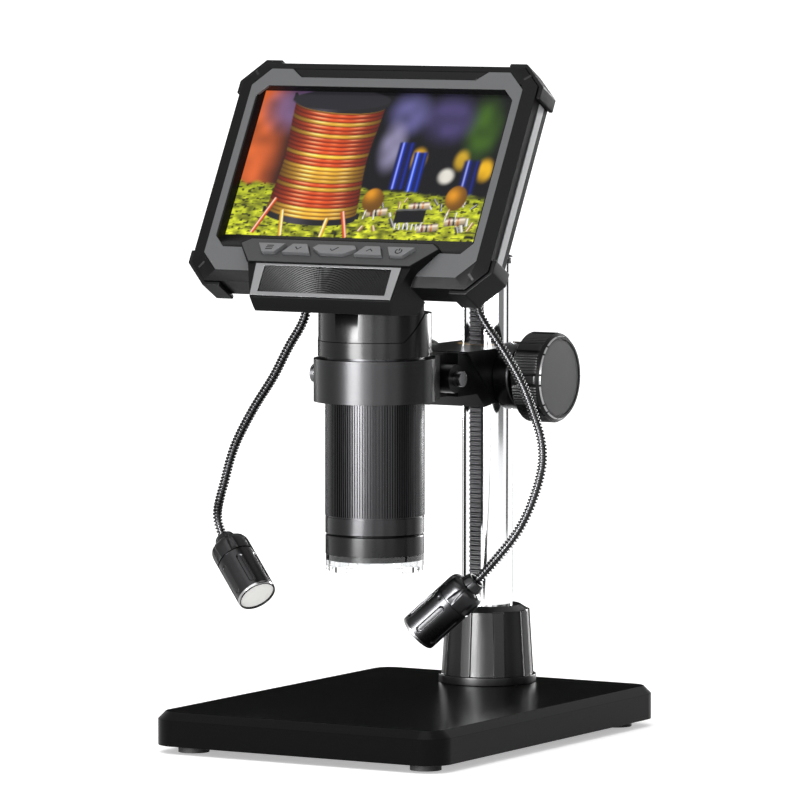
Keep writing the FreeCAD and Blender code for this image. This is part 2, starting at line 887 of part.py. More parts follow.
# Plate in the slanted joint between the arm and the block
joint = new_body("joint_plate")
pad(
    joint,
    "YZ",
    f"-{BLOCK_HALF} + joint_inset",
    "block_wide - 2 * joint_inset",
    [
        (PARTING_LOW, BLOCK_LOW),
        (f"{PARTING_LOW} + joint_plate", BLOCK_LOW),
        (f"{PARTING_TOP} + joint_plate", BLOCK_TOP),
        (PARTING_TOP, BLOCK_TOP),
    ],
)
pocket(joint, "YZ", f"-{BLOCK_HALF}", "block_wide",
       rectangle(f"{PARTING_TOP} - 1", f"{BLOCK_TOP} - joint_inset", "joint_plate + 2", "1"))
pocket(joint, "XZ", PARTING_TOP, f"{SCREW_END} - {PARTING_TOP}", *screw_bores)
keep("joint_plate", joint)

# Arm with the clamp ring
BOSS_Z = "(carriage_high + boss_up)"
RECESS_X = f"({BLOCK_HALF} - recess_deep)"
RECESS_MIDDLE = f"({RECESS_FRONT} + recess_long / 2 + 1)"
ARM_START = f"({SCOPE_Y} + 7.5)"
arm = new_body("arm_bracket")
pad(
    arm,
    "YZ",
    f"-{BLOCK_HALF}",
    "block_wide",
    [
        (ARM_START, RING_LOW),
        (f"{COLUMN_Y} - arm_low_start", RING_LOW),
        (f"{COLUMN_Y} - arm_low_end", f"{BLOCK_LOW} - 0.7"),
        (PARTING_LOW, BLOCK_LOW),
        (PARTING_TOP, BLOCK_TOP),
        (f"{SCOPE_Y} + arm_front", BLOCK_TOP),
        (f"{SCOPE_Y} + arm_front", RING_TOP),
        (ARM_START, RING_TOP),
    ],
)
pad(arm, "XY", RING_LOW, "ring_high", ("0", SCOPE_Y, "ring_radius"))
recess = rectangle(RECESS_FRONT, f"{RING_LOW} - 1", "recess_long", "ring_high + 3")
pocket(arm, "YZ", RECESS_X, "recess_deep + 1", recess)
pad(arm, "YZ", f"{RECESS_X} - 1", "boss_long + 1", (RECESS_MIDDLE, BOSS_Z, "boss_radius"))
pocket(arm, "XY", f"{RING_LOW} - 1", "ring_high + 2", ("0", SCOPE_Y, "tube_radius + tube_clearance"))
for stop, radius in ((SCREW_END, "arm_screw_radius"), (SCREW_SEAT, "arm_screw_head")):
    pocket(arm, "XZ", SCOPE_Y, f"{stop} - {SCOPE_Y}", *[(x, ARM_SCREW_Z, radius) for x in arm_screw_x])
THUMB_Z = "(carriage_high + thumb_up)"
pocket(arm, "YZ", "-ring_radius - 1", "ring_radius", (SCOPE_Y, THUMB_Z, "thumb_radius + tube_clearance"))
SCREW_START = f"({RECESS_X} + boss_long)"
pocket(arm, "YZ", f"{RECESS_X} + 0.5", "boss_long", (RECESS_MIDDLE, BOSS_Z, "boss_screw_radius"))
keep("arm_bracket", arm)

# Screws through the arm into the block
arm_screws = [
    screw(f"arm_screw{i}", spot(x, SCREW_SEAT, ARM_SCREW_Z, ALONG_FRONT),
          "arm_screw_radius", f"({SCREW_END} - {SCREW_SEAT})", "arm_screw_head", "arm_screw_head_high")
    for i, x in enumerate(arm_screw_x)
]
keep("arm_screws", group("arm_screws", arm_screws))
boss_screw = screw(
    "arm_clamp_screw",
    spot(SCREW_START, RECESS_MIDDLE, BOSS_Z, ALONG_X),
    "boss_screw_radius",
    "(boss_long - 0.8)",
    "boss_head_radius",
    "boss_head_long",
)
keep("arm_clamp_screw", boss_screw)

# Thumbscrew that locks the scope in the ring
thumb = screw(
    "ring_thumbscrew",
    spot("-ring_radius - thumb_gap", SCOPE_Y, THUMB_Z, ALONG_LEFT),
    "thumb_radius",
    "(ring_radius + thumb_gap - tube_radius - 2 * tube_clearance)",
    "thumb_head_radius",
    "thumb_head_long",
)
keep("ring_thumbscrew", thumb)

# Bearing collars on the sides of the block
collars = []
for name, side, turn in (("left", "-", ALONG_LEFT), ("right", "", ALONG_X)):
    collars.append(
        turned(
            f"collar_{name}",
            spot(f"{side}{BLOCK_HALF}", PINION_Y, "carriage_high", turn),
            [
                ("shaft_radius + shaft_clearance", "0"),
                ("collar_radius", "0"),
                ("collar_radius", "collar_long - 1"),
                ("collar_radius - 1", "collar_long"),
                ("shaft_radius + shaft_clearance", "collar_long"),
            ],
        )
    )
keep("bearing_collars", group("bearing_collars", collars))

# Pinion shaft
keep("pinion_shaft", feature("pinion_shaft", pinion_shape(), spot("0", PINION_Y, "carriage_high")))

# Focusing knobs, fluted round their grip, and their end caps
caps = []
for name, side, turn in (("left", "-", ALONG_LEFT), ("right", "", ALONG_X)):
    where = spot(f"{side}{KNOB_START}", PINION_Y, "carriage_high", turn)
    knob = turned(
        f"knob_{name}",
        where,
        [
            ("shaft_radius", "-knob_gap + 0.4"),
            ("knob_hub_radius", "-knob_gap + 0.4"),
            ("knob_hub_radius", "0"),
            ("knob_face_radius - 2", "0"),
            ("knob_radius", "2"),
            ("knob_radius", "knob_long - 1.7"),
            ("knob_face_radius", "knob_long"),
            ("knob_cap_radius", "knob_long"),
            ("knob_cap_radius", "knob_long - knob_cap_thick"),
            ("shaft_radius", "knob_long - knob_cap_thick"),
        ],
    )
    flute = pocket(
        knob, "XY", "2.5", "knob_long - 4.8",
        ("knob_radius + knob_flute_radius - knob_flute_deep", "0", "knob_flute_radius"),
    )
    around(knob, flute, "knob_flutes")
    keep(f"knob_{name}", knob)
    caps.append(
        turned(
            f"cap_{name}",
            where,
            [
                ("0", "knob_long - knob_cap_thick"),
                ("knob_cap_radius", "knob_long - knob_cap_thick"),
                ("knob_cap_radius", "knob_long - 0.2"),
                ("0", "knob_long - 0.2"),
            ],
        )
    )
keep("knob_caps", group("knob_caps", caps))

# Barrel tube, stepped in for the focus sleeve
on_axis = spot("0", SCOPE_Y)
keep(
    "barrel_tube",
    turned(
        "barrel_tube",
        on_axis,
        [
            ("inner_tube_bore", TUBE_LOW),
            ("inner_tube_radius", TUBE_LOW),
            ("inner_tube_radius", TUBE_STEP),
            ("tube_radius", TUBE_STEP),
            ("tube_radius", HEAD_LOW),
            ("inner_tube_bore", HEAD_LOW),
        ],
    ),
)


def ribbed_sleeve():
    """A ring with upright ribs, from a zigzag outline."""
    count = round(number("sleeve_ribs"))
    crest = number("sleeve_radius")
    root = crest - number("sleeve_rib_deep")
    low = number(BAND_TOP)
    corners = []
    for rib in range(count):
        for share, radius in ((-0.3, crest), (0.1, crest), (0.25, root), (0.55, root)):
            angle = 2 * math.pi * (rib + share) / count
            corners.append(FreeCAD.Vector(radius * math.cos(angle), radius * math.sin(angle), low))
    ring = Part.Face(Part.makePolygon(corners + corners[:1]))
    return ring.extrude(FreeCAD.Vector(0, 0, number("sleeve_long")))


# Focus sleeve: ribbed grip over a smooth band
SLEEVE_BORE = "(inner_tube_radius + sleeve_clearance)"
band = turned(
    "sleeve_band",
    on_axis,
    [
        ("0", f"{BAND_TOP} - band_long"),
        ("band_radius - 0.4", f"{BAND_TOP} - band_long"),
        ("band_radius", f"{BAND_TOP} - band_long + 0.4"),
        ("band_radius", f"{BAND_TOP} - 0.6"),
        ("band_radius - 0.5", f"{BAND_TOP} - 0.6"),
        ("band_radius - 0.5", f"{BAND_TOP} + 1"),
        ("0", f"{BAND_TOP} + 1"),
    ],
)
ribs = feature("sleeve_grip", ribbed_sleeve(), on_axis)
bore_foot = spot("0", SCOPE_Y, f"{BAND_TOP} - 2 * band_long")
bore = cylinder("sleeve_bore", bore_foot, SLEEVE_BORE, "sleeve_long + 3 * band_long")
keep("focus_sleeve", less("focus_sleeve", joined("sleeve_whole", ribs, band), bore))

# Nose ring that holds the lighting board
keep(
    "nose_ring",
    turned(
        "nose_ring",
        on_axis,
        [
            ("nose_bore", NOSE_LOW),
            ("tube_radius", NOSE_LOW),
            ("tube_radius", f"{NOSE_TOP} - 0.4"),
            ("tube_radius - 0.4", NOSE_TOP),
            ("inner_tube_radius", NOSE_TOP),
            ("inner_tube_radius", TUBE_LOW),
            ("nose_bore", TUBE_LOW),
        ],
    ),
)
LED_TOP = f"({TUBE_LOW} - led_board_thick)"
keep(
    "led_board",
    turned(
        "led_board",
        on_axis,
        [
            ("led_board_hole", LED_TOP),
            ("nose_bore", LED_TOP),
            ("nose_bore", TUBE_LOW),
            ("led_board_hole", TUBE_LOW),
        ],
    ),
)
leds = []
for i in range(round(number("led_count"))):
    step = f"(360 * {i} / led_count)"
    x, y = f"led_circle * cos({step})", f"{SCOPE_Y} + led_circle * sin({step})"
    leds.append(cylinder(f"led{i}", spot(x, y, f"{LED_TOP} - led_high"), "led_radius", "led_high"))
keep("ring_leds", group("ring_leds", leds))

# Clear shroud with a notched rim
SHROUD_LOW = f"({NOSE_LOW} - shroud_long)"
shroud = turned(
    "clear_shroud",
    on_axis,
    [
        ("shroud_radius - shroud_wall", SHROUD_LOW),
        ("shroud_radius", SHROUD_LOW),
        ("shroud_radius", NOSE_LOW),
        ("shroud_radius - shroud_wall", NOSE_LOW),
    ],
)
notch = pocket(
    shroud,
    "YZ",
    "0",
    "shroud_radius + 1",
    wide_box("shroud_notch_wide / 2", SHROUD_LOW, f"{SHROUD_LOW} + shroud_notch_high"),
)
around(shroud, notch, "shroud_notches")
keep("clear_shroud", shroud)

# Lens cell that slides in the tube, and its lens
CELL_LOW = f"({TUBE_LOW} + cell_up)"
keep(
    "lens_cell",
    turned(
        "lens_cell",
        on_axis,
        [
            ("lens_radius", CELL_LOW),
            ("inner_tube_bore - sleeve_clearance", CELL_LOW),
            ("inner_tube_bore - sleeve_clearance", f"{CELL_LOW} + cell_long"),
            ("lens_radius", f"{CELL_LOW} + cell_long"),
        ],
    ),
)
keep(
    "objective_lens",
    turned(
        "objective_lens",
        on_axis,
        [
            ("0", f"{CELL_LOW} + 0.4"),
            ("lens_radius * 0.6", f"{CELL_LOW} + 0.7"),
            ("lens_radius", f"{CELL_LOW} + 1.4"),
            ("lens_radius", f"{CELL_LOW} + lens_thick"),
            ("0", f"{CELL_LOW} + lens_thick"),
        ],
    ),
)

# Head housing: a drum with a ramp, a hinge slot and a cavity
head = new_body("head_housing")
pad(head, "XY", HEAD_LOW, "head_high", ("0", SCOPE_Y, "head_radius"))
pocket(
    head,
    "YZ",
    "-head_radius - 1",
    "2 * head_radius + 2",
    [
        (f"{SCOPE_Y} - head_radius - 1", RAMP_LOW),
        (f"{SCOPE_Y} + ramp_front", RAMP_LOW),
        (f"{SCOPE_Y} + ramp_back", HEAD_TOP),
        (f"{SCOPE_Y} + ramp_back", f"{HEAD_TOP} + 1"),
        (f"{SCOPE_Y} - head_radius - 1", f"{HEAD_TOP} + 1"),
    ],
)
pocket(
    head,
    "XY",
    f"{HEAD_TOP} - hinge_slot_deep",
    "hinge_slot_deep + 1",
    rectangle("-hinge_slot_half", f"{SCOPE_Y} + hinge_slot_front", "2 * hinge_slot_half",
              "(hinge_slot_back - hinge_slot_front)"),
)
pocket(head, "XY", HEAD_LOW, "cavity_high", ("0", SCOPE_Y, "inner_tube_bore"))
pocket(head, "YZ", "-head_radius", "head_radius + pin_end", (HINGE_Y, HINGE_Z, "pin_radius"))
keep("head_housing", head)
PIN_LOW = "(pin_start - head_radius)"
pin_foot = spot(PIN_LOW, HINGE_Y, HINGE_Z, ALONG_X)
keep("tilt_pin", cylinder("tilt_pin", pin_foot, "pin_radius", f"pin_end - {PIN_LOW}"))

# Image sensor on its board, under the roof of the head
SENSOR_TOP = f"({HEAD_LOW} + cavity_high)"
sensor = new_body("sensor_board", on_axis)
SENSOR_LOW = f"({SENSOR_TOP} - sensor_board_thick)"
pad(sensor, "XY", SENSOR_LOW, "sensor_board_thick", ("0", "0", "sensor_board_radius"))
chip = wide_box("sensor_half", "-sensor_half", "sensor_half")
pad(sensor, "XY", f"{SENSOR_LOW} - sensor_thick", "sensor_thick", chip)
keep("sensor_board", sensor)

# Neck: a slice of a drum that sits on the ramp, with the hinge knuckle
neck = new_body("neck_drum")
pad(neck, "XY", f"{RAMP_LOW} + seat_gap", "display_up", ("0", SCOPE_Y, "neck_radius"))
pocket(
    neck,
    "YZ",
    "-head_radius - 1",
    "2 * head_radius + 2",
    [
        (f"{SCOPE_Y} + ramp_front", f"{RAMP_LOW} + seat_gap - 1"),
        (f"{SCOPE_Y} + ramp_front", f"{RAMP_LOW} + seat_gap"),
        (f"{SCOPE_Y} + ramp_back - neck_back", f"{HEAD_TOP} + seat_gap"),
        (f"{SCOPE_Y} + ramp_back - neck_back", f"{HEAD_TOP} + neck_shoulder"),
        (f"{SCOPE_Y} + neck_crest", f"{HEAD_TOP} + neck_crest_up"),
        (f"{SCOPE_Y} + neck_crest", f"{HEAD_TOP} + 2 * display_up"),
        (f"{SCOPE_Y} + head_radius + 1", f"{HEAD_TOP} + 2 * display_up"),
        (f"{SCOPE_Y} + head_radius + 1", f"{RAMP_LOW} + seat_gap - 1"),
    ],
)
tongue = new_body("neck_tongue")
pad(tongue, "YZ", "-knuckle_half", "2 * knuckle_half", (HINGE_Y, HINGE_Z, "knuckle_radius"))
web = new_body("neck_web")
pad(
    web,
    "YZ",
    "-knuckle_half",
    "2 * knuckle_half",
    [
        (f"{HINGE_Y} - knuckle_radius", HINGE_Z),
        (HINGE_Y, HINGE_Z),
        (f"{HINGE_Y} + knuckle_radius", HINGE_Z),
        (f"{SCOPE_Y} + ramp_back - neck_back - 0.5", f"{HEAD_TOP} + neck_shoulder - 0.5"),
        (f"{SCOPE_Y} + hinge_slot_front + 2", f"{HEAD_TOP} + 1.5"),
    ],
)
front_space = new_body("neck_front_cut", DISPLAY)
pad(front_space, "YZ", "-head_radius - 5", "2 * head_radius + 10",
    rectangle("-display_up", "-2 * display_up", f"(display_up + {CASE_BACK})", "4 * display_up"))
pin_hole_foot = spot("-head_radius", HINGE_Y, HINGE_Z, ALONG_X)
pin_hole = cylinder("neck_pin_hole", pin_hole_foot, "pin_radius + pin_clearance", "2 * head_radius")
keep("neck_block", less("neck_block", joined("neck_whole", neck, tongue, web), front_space, pin_hole))

# Display case: front shell with its sloping border and the chin
CASE_OUTLINE = cut_box(CASE_HALF, CASE_LOW, CASE_TOP, "border_cut")
BEZEL_OUTLINE = cut_box(BEZEL_HALF, BEZEL_LOW, BEZEL_TOP, "bezel_cut")
case = new_body("case_shell", DISPLAY)
pad(case, "XZ", "border_deep", "case_deep - border_deep", CASE_OUTLINE)
loft(case, "XZ", ("0", BEZEL_OUTLINE), ("border_deep", CASE_OUTLINE))
CHIN_LOW = f"({CHIN_TOP} - chin_tall)"


def inner_box(wall):
    """The case's outline drawn in by a wall."""
    low, top = f"({CASE_LOW} + {wall})", f"({CASE_TOP} - {wall})"
    return cut_box(f"({CASE_HALF} - {wall})", low, top, "border_cut")


def chin_outline(gap):
    """The chin from the front, widened by a gap."""
    right = [
        (f"chin_top_half + {gap}", f"{CHIN_TOP} + {gap}"),
        (f"chin_shoulder_half + {gap}", f"{CHIN_TOP} - chin_shoulder"),
        (f"chin_waist_half + {gap}", KEYPAD_FOOT),
        (f"chin_low_half + {gap}", f"{CHIN_LOW} + 4"),
        (f"chin_foot_half + {gap}", CHIN_LOW),
    ]
    return right + [(f"-({x})", z) for x, z in reversed(right)]


chin_front = new_body("chin_front", DISPLAY)
pad(chin_front, "XZ", "-20", f"20 + {CASE_BACK}", chin_outline("0"))
chin_side = new_body("chin_side", DISPLAY)
pad(
    chin_side,
    "YZ",
    "-60",
    "120",
    [
        ("screen_deep", CHIN_TOP),
        ("-chin_lift", CHIN_TOP),
        (KEYPAD_FRONT, KEYPAD_FOOT),
        (GRILLE_FRONT, f"{KEYPAD_FOOT} - 0.2"),
        (GRILLE_FRONT, f"{GRILLE_TOP} - grille_tall - frame_lip - 0.6"),
        (f"{GRILLE_FRONT} + 3.2", f"{CHIN_LOW} + 0.8"),
        ("0", CHIN_LOW),
        (CASE_BACK, f"{CHIN_LOW} + chin_heel"),
        (CASE_BACK, CASE_LOW),
        ("case_deep", CASE_LOW),
        ("case_deep", f"{CASE_LOW} + 2"),
        ("screen_deep", f"{CASE_LOW} + 2"),
    ],
)
chin = shared("chin_solid", chin_front, chin_side)

# What the front shell is cut out for
GLASS_HALF = f"({WINDOW_HALF} + flange_side)"
GLASS_TOP = f"({WINDOW_TOP} + flange_side)"
GLASS_LOW = f"({WINDOW_LOW} - flange_side)"
cavity = new_body("case_cavity", DISPLAY)
pad(cavity, "XZ", "bezel_thick + front_wall", "case_deep", inner_box("case_wall"))
pad(cavity, "XZ", "-1", "case_deep", wide_box(GLASS_HALF, GLASS_LOW, GLASS_TOP))
bezel_seat = new_body("bezel_seat", DISPLAY)
pad(bezel_seat, "XZ", "-1", "1 + bezel_thick", BEZEL_OUTLINE)
strip_seat = []
STRIP_LOW = f"({CASE_LOW} + bumper_up + strip_margin)"
STRIP_TOP = f"({CASE_TOP} - bumper_up - strip_margin)"
STRIP_TALL = f"({STRIP_TOP} - {STRIP_LOW})"
for name, side in (("left", f"-{CASE_HALF} - 1"), ("right", f"{CASE_HALF} - strip_deep")):
    seat = new_body(f"strip_seat_{name}", DISPLAY)
    pad(seat, "XZ", "strip_front", "strip_wide", rectangle(side, STRIP_LOW, "(strip_deep + 1)", STRIP_TALL))
    strip_seat.append(seat)
screw_spots = [
    (f"{side}({CASE_HALF} - case_screw_inset)", height)
    for side in ("", "-")
    for height in (f"({CASE_TOP} - case_screw_up)", f"({CASE_LOW} + case_screw_low)")
]
posts = [
    cylinder(f"screw_post{i}", f"{DISPLAY} * {spot(x, 'bezel_thick + 1', z, ALONG_Y)}", "screw_post_radius",
             "case_deep - bezel_thick - 1")
    for i, (x, z) in enumerate(screw_spots)
]
SCREW_SINK = f"({CASE_BACK} - case_screw_head_high)"
SCREW_TIP = f"({SCREW_SINK} - case_screw_long)"
post_holes = [
    cylinder(f"post_hole{i}", f"{DISPLAY} * {spot(x, SCREW_TIP, z, ALONG_Y)}", "case_screw_radius",
             "case_screw_long + 1")
    for i, (x, z) in enumerate(screw_spots)
]
KEYPAD_EDGE = "(keypad_long - 0.4)"


def keypad_outline(inset):
    """The button plate seen square on, inside the chin's edge."""
    right = [
        (f"chin_top_half - {inset}", f"-{inset}"),
        (f"chin_shoulder_half - {inset}", "-chin_shoulder / cos(keypad_tilt)"),
        (f"chin_waist_half - {inset}", f"-{KEYPAD_EDGE}"),
    ]
    return right + [(f"-({x})", z) for x, z in reversed(right)]


keypad_seat = new_body("keypad_seat", KEYPAD)
pad(keypad_seat, "XZ", "-2", "2 + keypad_thick", keypad_outline("keypad_margin"))

# Buttons: outlines on the plate, right half mirrored on the left
BUTTON_LOW = "(-button_top - button_tall)"


def button_outline(name, gap):
    """A button's corners, grown by a gap."""
    shapes = {
        "menu": ("-34.5", "-22.5", "-25.5", "-31"),
        "down": ("-19.2", "-12.9", "-9.7", "-22"),
        "up": ("12.9", "19.2", "22", "9.7"),
        "power": ("22.5", "34.5", "31", "25.5"),
    }
    low, high = f"{BUTTON_LOW} - {gap}", f"-button_top + {gap}"
    if name == "enter":
        waist = "-button_top - button_tall * 0.4"
        right = [(f"8 + {gap}", high), (f"9.7 + {gap}", waist), (f"5 + {gap}", low)]
        return right + [(f"-({x})", z) for x, z in reversed(right)]
    a, b, c, d = shapes[name]
    return [(f"{a} - {gap}", high), (f"{b} + {gap}", high), (f"{c} + {gap}", low), (f"{d} - {gap}", low)]


button_names = ("menu", "down", "enter", "up", "power")
BUTTON_ROOM = "(keypad_thick + button_sunk + button_travel + button_spare)"
button_wells = []
for name in button_names:
    well = new_body(f"well_{name}", KEYPAD)
    pad(well, "XZ", "-2", f"2 + {BUTTON_ROOM}", button_outline(name, "button_gap"))
    button_wells.append(well)

# Grille seat and the speaker's pocket behind it
grille_seat = new_body("grille_seat", DISPLAY)
GRILLE_LOW = f"({GRILLE_TOP} - grille_tall)"
pad(grille_seat, "XZ", f"{GRILLE_FRONT}", "grille_thick", wide_box("grille_half", GRILLE_LOW, GRILLE_TOP))
SPEAKER_V = f"(({GRILLE_TOP} + {GRILLE_LOW}) / 2)"
speaker_seat = new_body("speaker_seat", DISPLAY)
pad(speaker_seat, "XZ", f"{GRILLE_FRONT} + grille_thick - 0.2", "speaker_thick + 0.2",
    wide_box("speaker_half", f"{SPEAKER_V} - speaker_tall / 2", f"{SPEAKER_V} + speaker_tall / 2"))
hollow = less("case_hollow", case, bezel_seat, *strip_seat, cavity)
display_case = less(
    "display_case",
    joined("case_filled", hollow, chin, *posts),
    joined("case_tools", keypad_seat, *button_wells, grille_seat, speaker_seat, *post_holes),
)
keep("display_case", display_case)

# Rear cover: a shallow tray with a battery hump and two bosses for the lamp arms
HUMP_HALF = "(battery_half + hump_margin)"
HUMP_LOW = "(battery_low - hump_margin)"
HUMP_TOP = "(battery_low + battery_tall + hump_margin)"
EDGE = "(case_deep + back_deep - back_slope)"
cover = new_body("cover_shell", DISPLAY)
pad(cover, "XZ", "case_deep", "back_deep - back_slope", CASE_OUTLINE)
loft(cover, "XZ", (EDGE, CASE_OUTLINE), (CASE_BACK, inner_box("back_slope")))
hump = new_body("cover_hump", DISPLAY)
hump_back = cut_box(
    f"({HUMP_HALF} - hump_wall)", f"({HUMP_LOW} + hump_wall)", f"({HUMP_TOP} - hump_wall)", "hump_margin"
)
loft(
    hump,
    "XZ",
    ("case_deep + case_wall", cut_box(HUMP_HALF, HUMP_LOW, HUMP_TOP, "hump_margin")),
    (HUMP_BACK, hump_back),
)
tray = new_body("cover_tray", DISPLAY)
pad(tray, "XZ", "case_deep - 1", "1 + back_deep - hump_wall", inner_box("case_wall"))
pad(tray, "XZ", "case_deep - 1", f"1 + {BOARD_BACK} + battery_thick - case_deep",
    wide_box("battery_half", "battery_low", "battery_low + battery_tall"))
cover_posts, cover_holes = [], []
for i, (x, z) in enumerate(screw_spots):
    foot = f"{DISPLAY} * {spot(x, 'case_deep', z, ALONG_Y)}"
    cover_posts.append(cylinder(f"cover_post{i}", foot, "screw_post_radius", "back_deep - 0.1"))
    cover_holes.append(cylinder(f"cover_hole{i}", foot, "case_screw_radius", "back_deep + 1"))
    sink = f"{DISPLAY} * {spot(x, SCREW_SINK, z, ALONG_Y)}"
    cover_holes.append(cylinder(f"cover_sink{i}", sink, "case_screw_head", "2"))
root_bosses = []
for name, side in (("left", "-"), ("right", "")):
    foot = f"{DISPLAY} * {spot(side + 'arm_root_side', CASE_BACK, ROOT_V, ALONG_Y)}"
    root_bosses.append(
        turned(
            f"root_boss_{name}",
            foot,
            [
                ("0", "-0.5"),
                ("root_boss_radius", "-0.5"),
                ("root_boss_radius", "root_boss_long * 0.3"),
                ("root_boss_tip", "root_boss_long"),
                ("0", "root_boss_long"),
            ],
        )
    )
    bore = f"{DISPLAY} * {spot(side + 'arm_root_side', 'case_deep', ROOT_V, ALONG_Y)}"
    radius = "ferrule_radius + ferrule_clearance"
    cover_holes.append(cylinder(f"root_bore_{name}", bore, radius, "3 * back_deep"))
cover_tray = less("cover_hollow", joined("cover_outer", cover, hump), tray)
cover_filled = joined("cover_filled", cover_tray, *cover_posts, *root_bosses)
keep("rear_cover", less("rear_cover", cover_filled, joined("cover_tools", *cover_holes)))
case_screws = [
    screw(f"case_screw{i}", f"{DISPLAY} * {spot(x, SCREW_SINK, z, ALONG_Y)}", "case_screw_radius",
          "case_screw_long", "case_screw_head", "case_screw_head_high")
    for i, (x, z) in enumerate(screw_spots)
]
keep("case_screws", group("case_screws", case_screws))

# Front bezel: a thin plate with the window, open below for the chin
bezel = new_body("bezel_plate", DISPLAY)
NOTCH_LOW = f"({BEZEL_TOP} - insert_high)"
pad(
    bezel,
    "XZ",
    "0",
    "bezel_thick",
    [
        (f"-{BEZEL_HALF} + bezel_cut", BEZEL_LOW),
        (f"{BEZEL_HALF} - bezel_cut", BEZEL_LOW),
        (BEZEL_HALF, f"{BEZEL_LOW} + bezel_cut"),
        (BEZEL_HALF, f"{BEZEL_TOP} - bezel_cut"),
        (f"{BEZEL_HALF} - bezel_cut", BEZEL_TOP),
        ("insert_half + insert_slope", BEZEL_TOP),
        ("insert_half", NOTCH_LOW),
        ("-insert_half", NOTCH_LOW),
        ("-insert_half - insert_slope", BEZEL_TOP),
        (f"-{BEZEL_HALF} + bezel_cut", BEZEL_TOP),
        (f"-{BEZEL_HALF}", f"{BEZEL_TOP} - bezel_cut"),
        (f"-{BEZEL_HALF}", f"{BEZEL_LOW} + bezel_cut"),
    ],
)
window = cut_box(WINDOW_HALF, WINDOW_LOW, WINDOW_TOP, "window_cut")
pocket(bezel, "XZ", "0", "bezel_thick", window)
chin_gap = new_body("chin_gap", DISPLAY)
pad(chin_gap, "XZ", "-1", "screen_deep + 1", chin_outline("0.05"))
keep("front_bezel", less("front_bezel", bezel, chin_gap))
keep(
    "top_insert",
    pad(
        new_body("top_insert", DISPLAY),
        "XZ",
        "0.2",
        "bezel_thick - 0.2",
        [
            ("-insert_half + insert_gap", f"{NOTCH_LOW} + insert_gap"),
            ("insert_half - insert_gap", f"{NOTCH_LOW} + insert_gap"),
            ("insert_half + insert_slope - 2 * insert_gap", BEZEL_TOP),
            ("-insert_half - insert_slope + 2 * insert_gap", BEZEL_TOP),
        ],
    ),
)

# Screen surround: a frame whose walls slope in to the picture
surround = new_body("surround_frame", DISPLAY)
pad(surround, "XZ", "bezel_thick", "screen_deep - bezel_thick", wide_box(GLASS_HALF, GLASS_LOW, GLASS_TOP))
pad(surround, "XZ", "0.3", "bezel_thick - 0.3", window)
opening = new_body("surround_opening", DISPLAY)
loft(
    opening,
    "XZ",
    ("0", wide_box(f"({WINDOW_HALF} - 0.5)", f"{WINDOW_LOW} + 0.5", f"{WINDOW_TOP} - 0.2")),
    ("screen_deep + 0.001", wide_box("screen_wide / 2", "-screen_high / 2", "screen_high / 2")),
)
keep("screen_surround", less("screen_surround", surround, opening, chin_gap))
keep(
    "screen_glass",
    pad(new_body("screen_glass", DISPLAY), "XZ", "screen_deep", "glass_thick",
        wide_box(GLASS_HALF, f"{GLASS_LOW} + window_bottom", GLASS_TOP)),
)
keep(
    "lcd_panel",
    pad(new_body("lcd_panel", DISPLAY), "XZ", "screen_deep + glass_thick", "panel_thick",
        wide_box(GLASS_HALF, f"{GLASS_LOW} + window_bottom", GLASS_TOP)),
)
keep(
    "main_board",
    pad(new_body("main_board", DISPLAY), "XZ", PANEL_BACK, "board_thick",
        wide_box("board_half", "board_low", "board_low + board_tall")),
)
keep(
    "battery_pack",
    pad(new_body("battery_pack", DISPLAY), "XZ", BOARD_BACK, "battery_thick",
        wide_box("battery_half", "battery_low", "battery_low + battery_tall")),
)

# Corner bumpers, one piece over each corner of the case
bumpers = []
OUT = "bumper_proud"
for i, (side, height, up) in enumerate(
    (("", CASE_TOP, ""), ("-", CASE_TOP, ""), ("", CASE_LOW, "-"), ("-", CASE_LOW, "-"))
):
    outline = [
        (f"{side}({CASE_HALF})", f"{height} - {up}bumper_up"),
        (f"{side}({CASE_HALF} + {OUT})", f"{height} - {up}bumper_up"),
        (f"{side}({CASE_HALF} + {OUT})", f"{height} - {up}(border_cut - 0.4)"),
        (f"{side}({CASE_HALF} - border_cut + 0.4)", f"{height} + {up}{OUT}"),
        (f"{side}({CASE_HALF} - bumper_along)", f"{height} + {up}{OUT}"),
        (f"{side}({CASE_HALF} - bumper_along)", f"{height}"),
        (f"{side}({CASE_HALF} - border_cut)", f"{height}"),
        (f"{side}({CASE_HALF})", f"{height} - {up}border_cut"),
    ]
    bumper = new_body(f"bumper{i}", DISPLAY)
    pad(bumper, "XZ", "bumper_front + border_deep", "bumper_deep - border_deep", outline)
    bumpers.append(bumper)
keep("corner_bumpers", group("corner_bumpers", bumpers))

# Bright strips let into the sides of the case
strips = []
for name, side in (("left", f"-{CASE_HALF} - strip_proud"), ("right", f"{CASE_HALF} - strip_deep")):
    strip = new_body(f"strip_{name}", DISPLAY)
    thick = "(strip_deep + strip_proud)"
    pad(strip, "XZ", "strip_front", "strip_wide", rectangle(side, STRIP_LOW, thick, STRIP_TALL))
    strips.append(strip)
keep("side_strips", group("side_strips", strips))

# Button plate and the five buttons that travel through it
plate = new_body("keypad_solid", KEYPAD)
pad(plate, "XZ", "0", "keypad_thick", keypad_outline("keypad_margin"))
wells = joined("well_tools", *button_wells)
keep("button_plate", less("button_plate", plate, wells))
for name in button_names:
    button = new_body(f"{name}_button", KEYPAD)
    tall = "button_proud + keypad_thick + button_sunk"
    pad(button, "XZ", "-button_proud", tall, button_outline(name, "0"))
    keep(f"{name}_button", button)

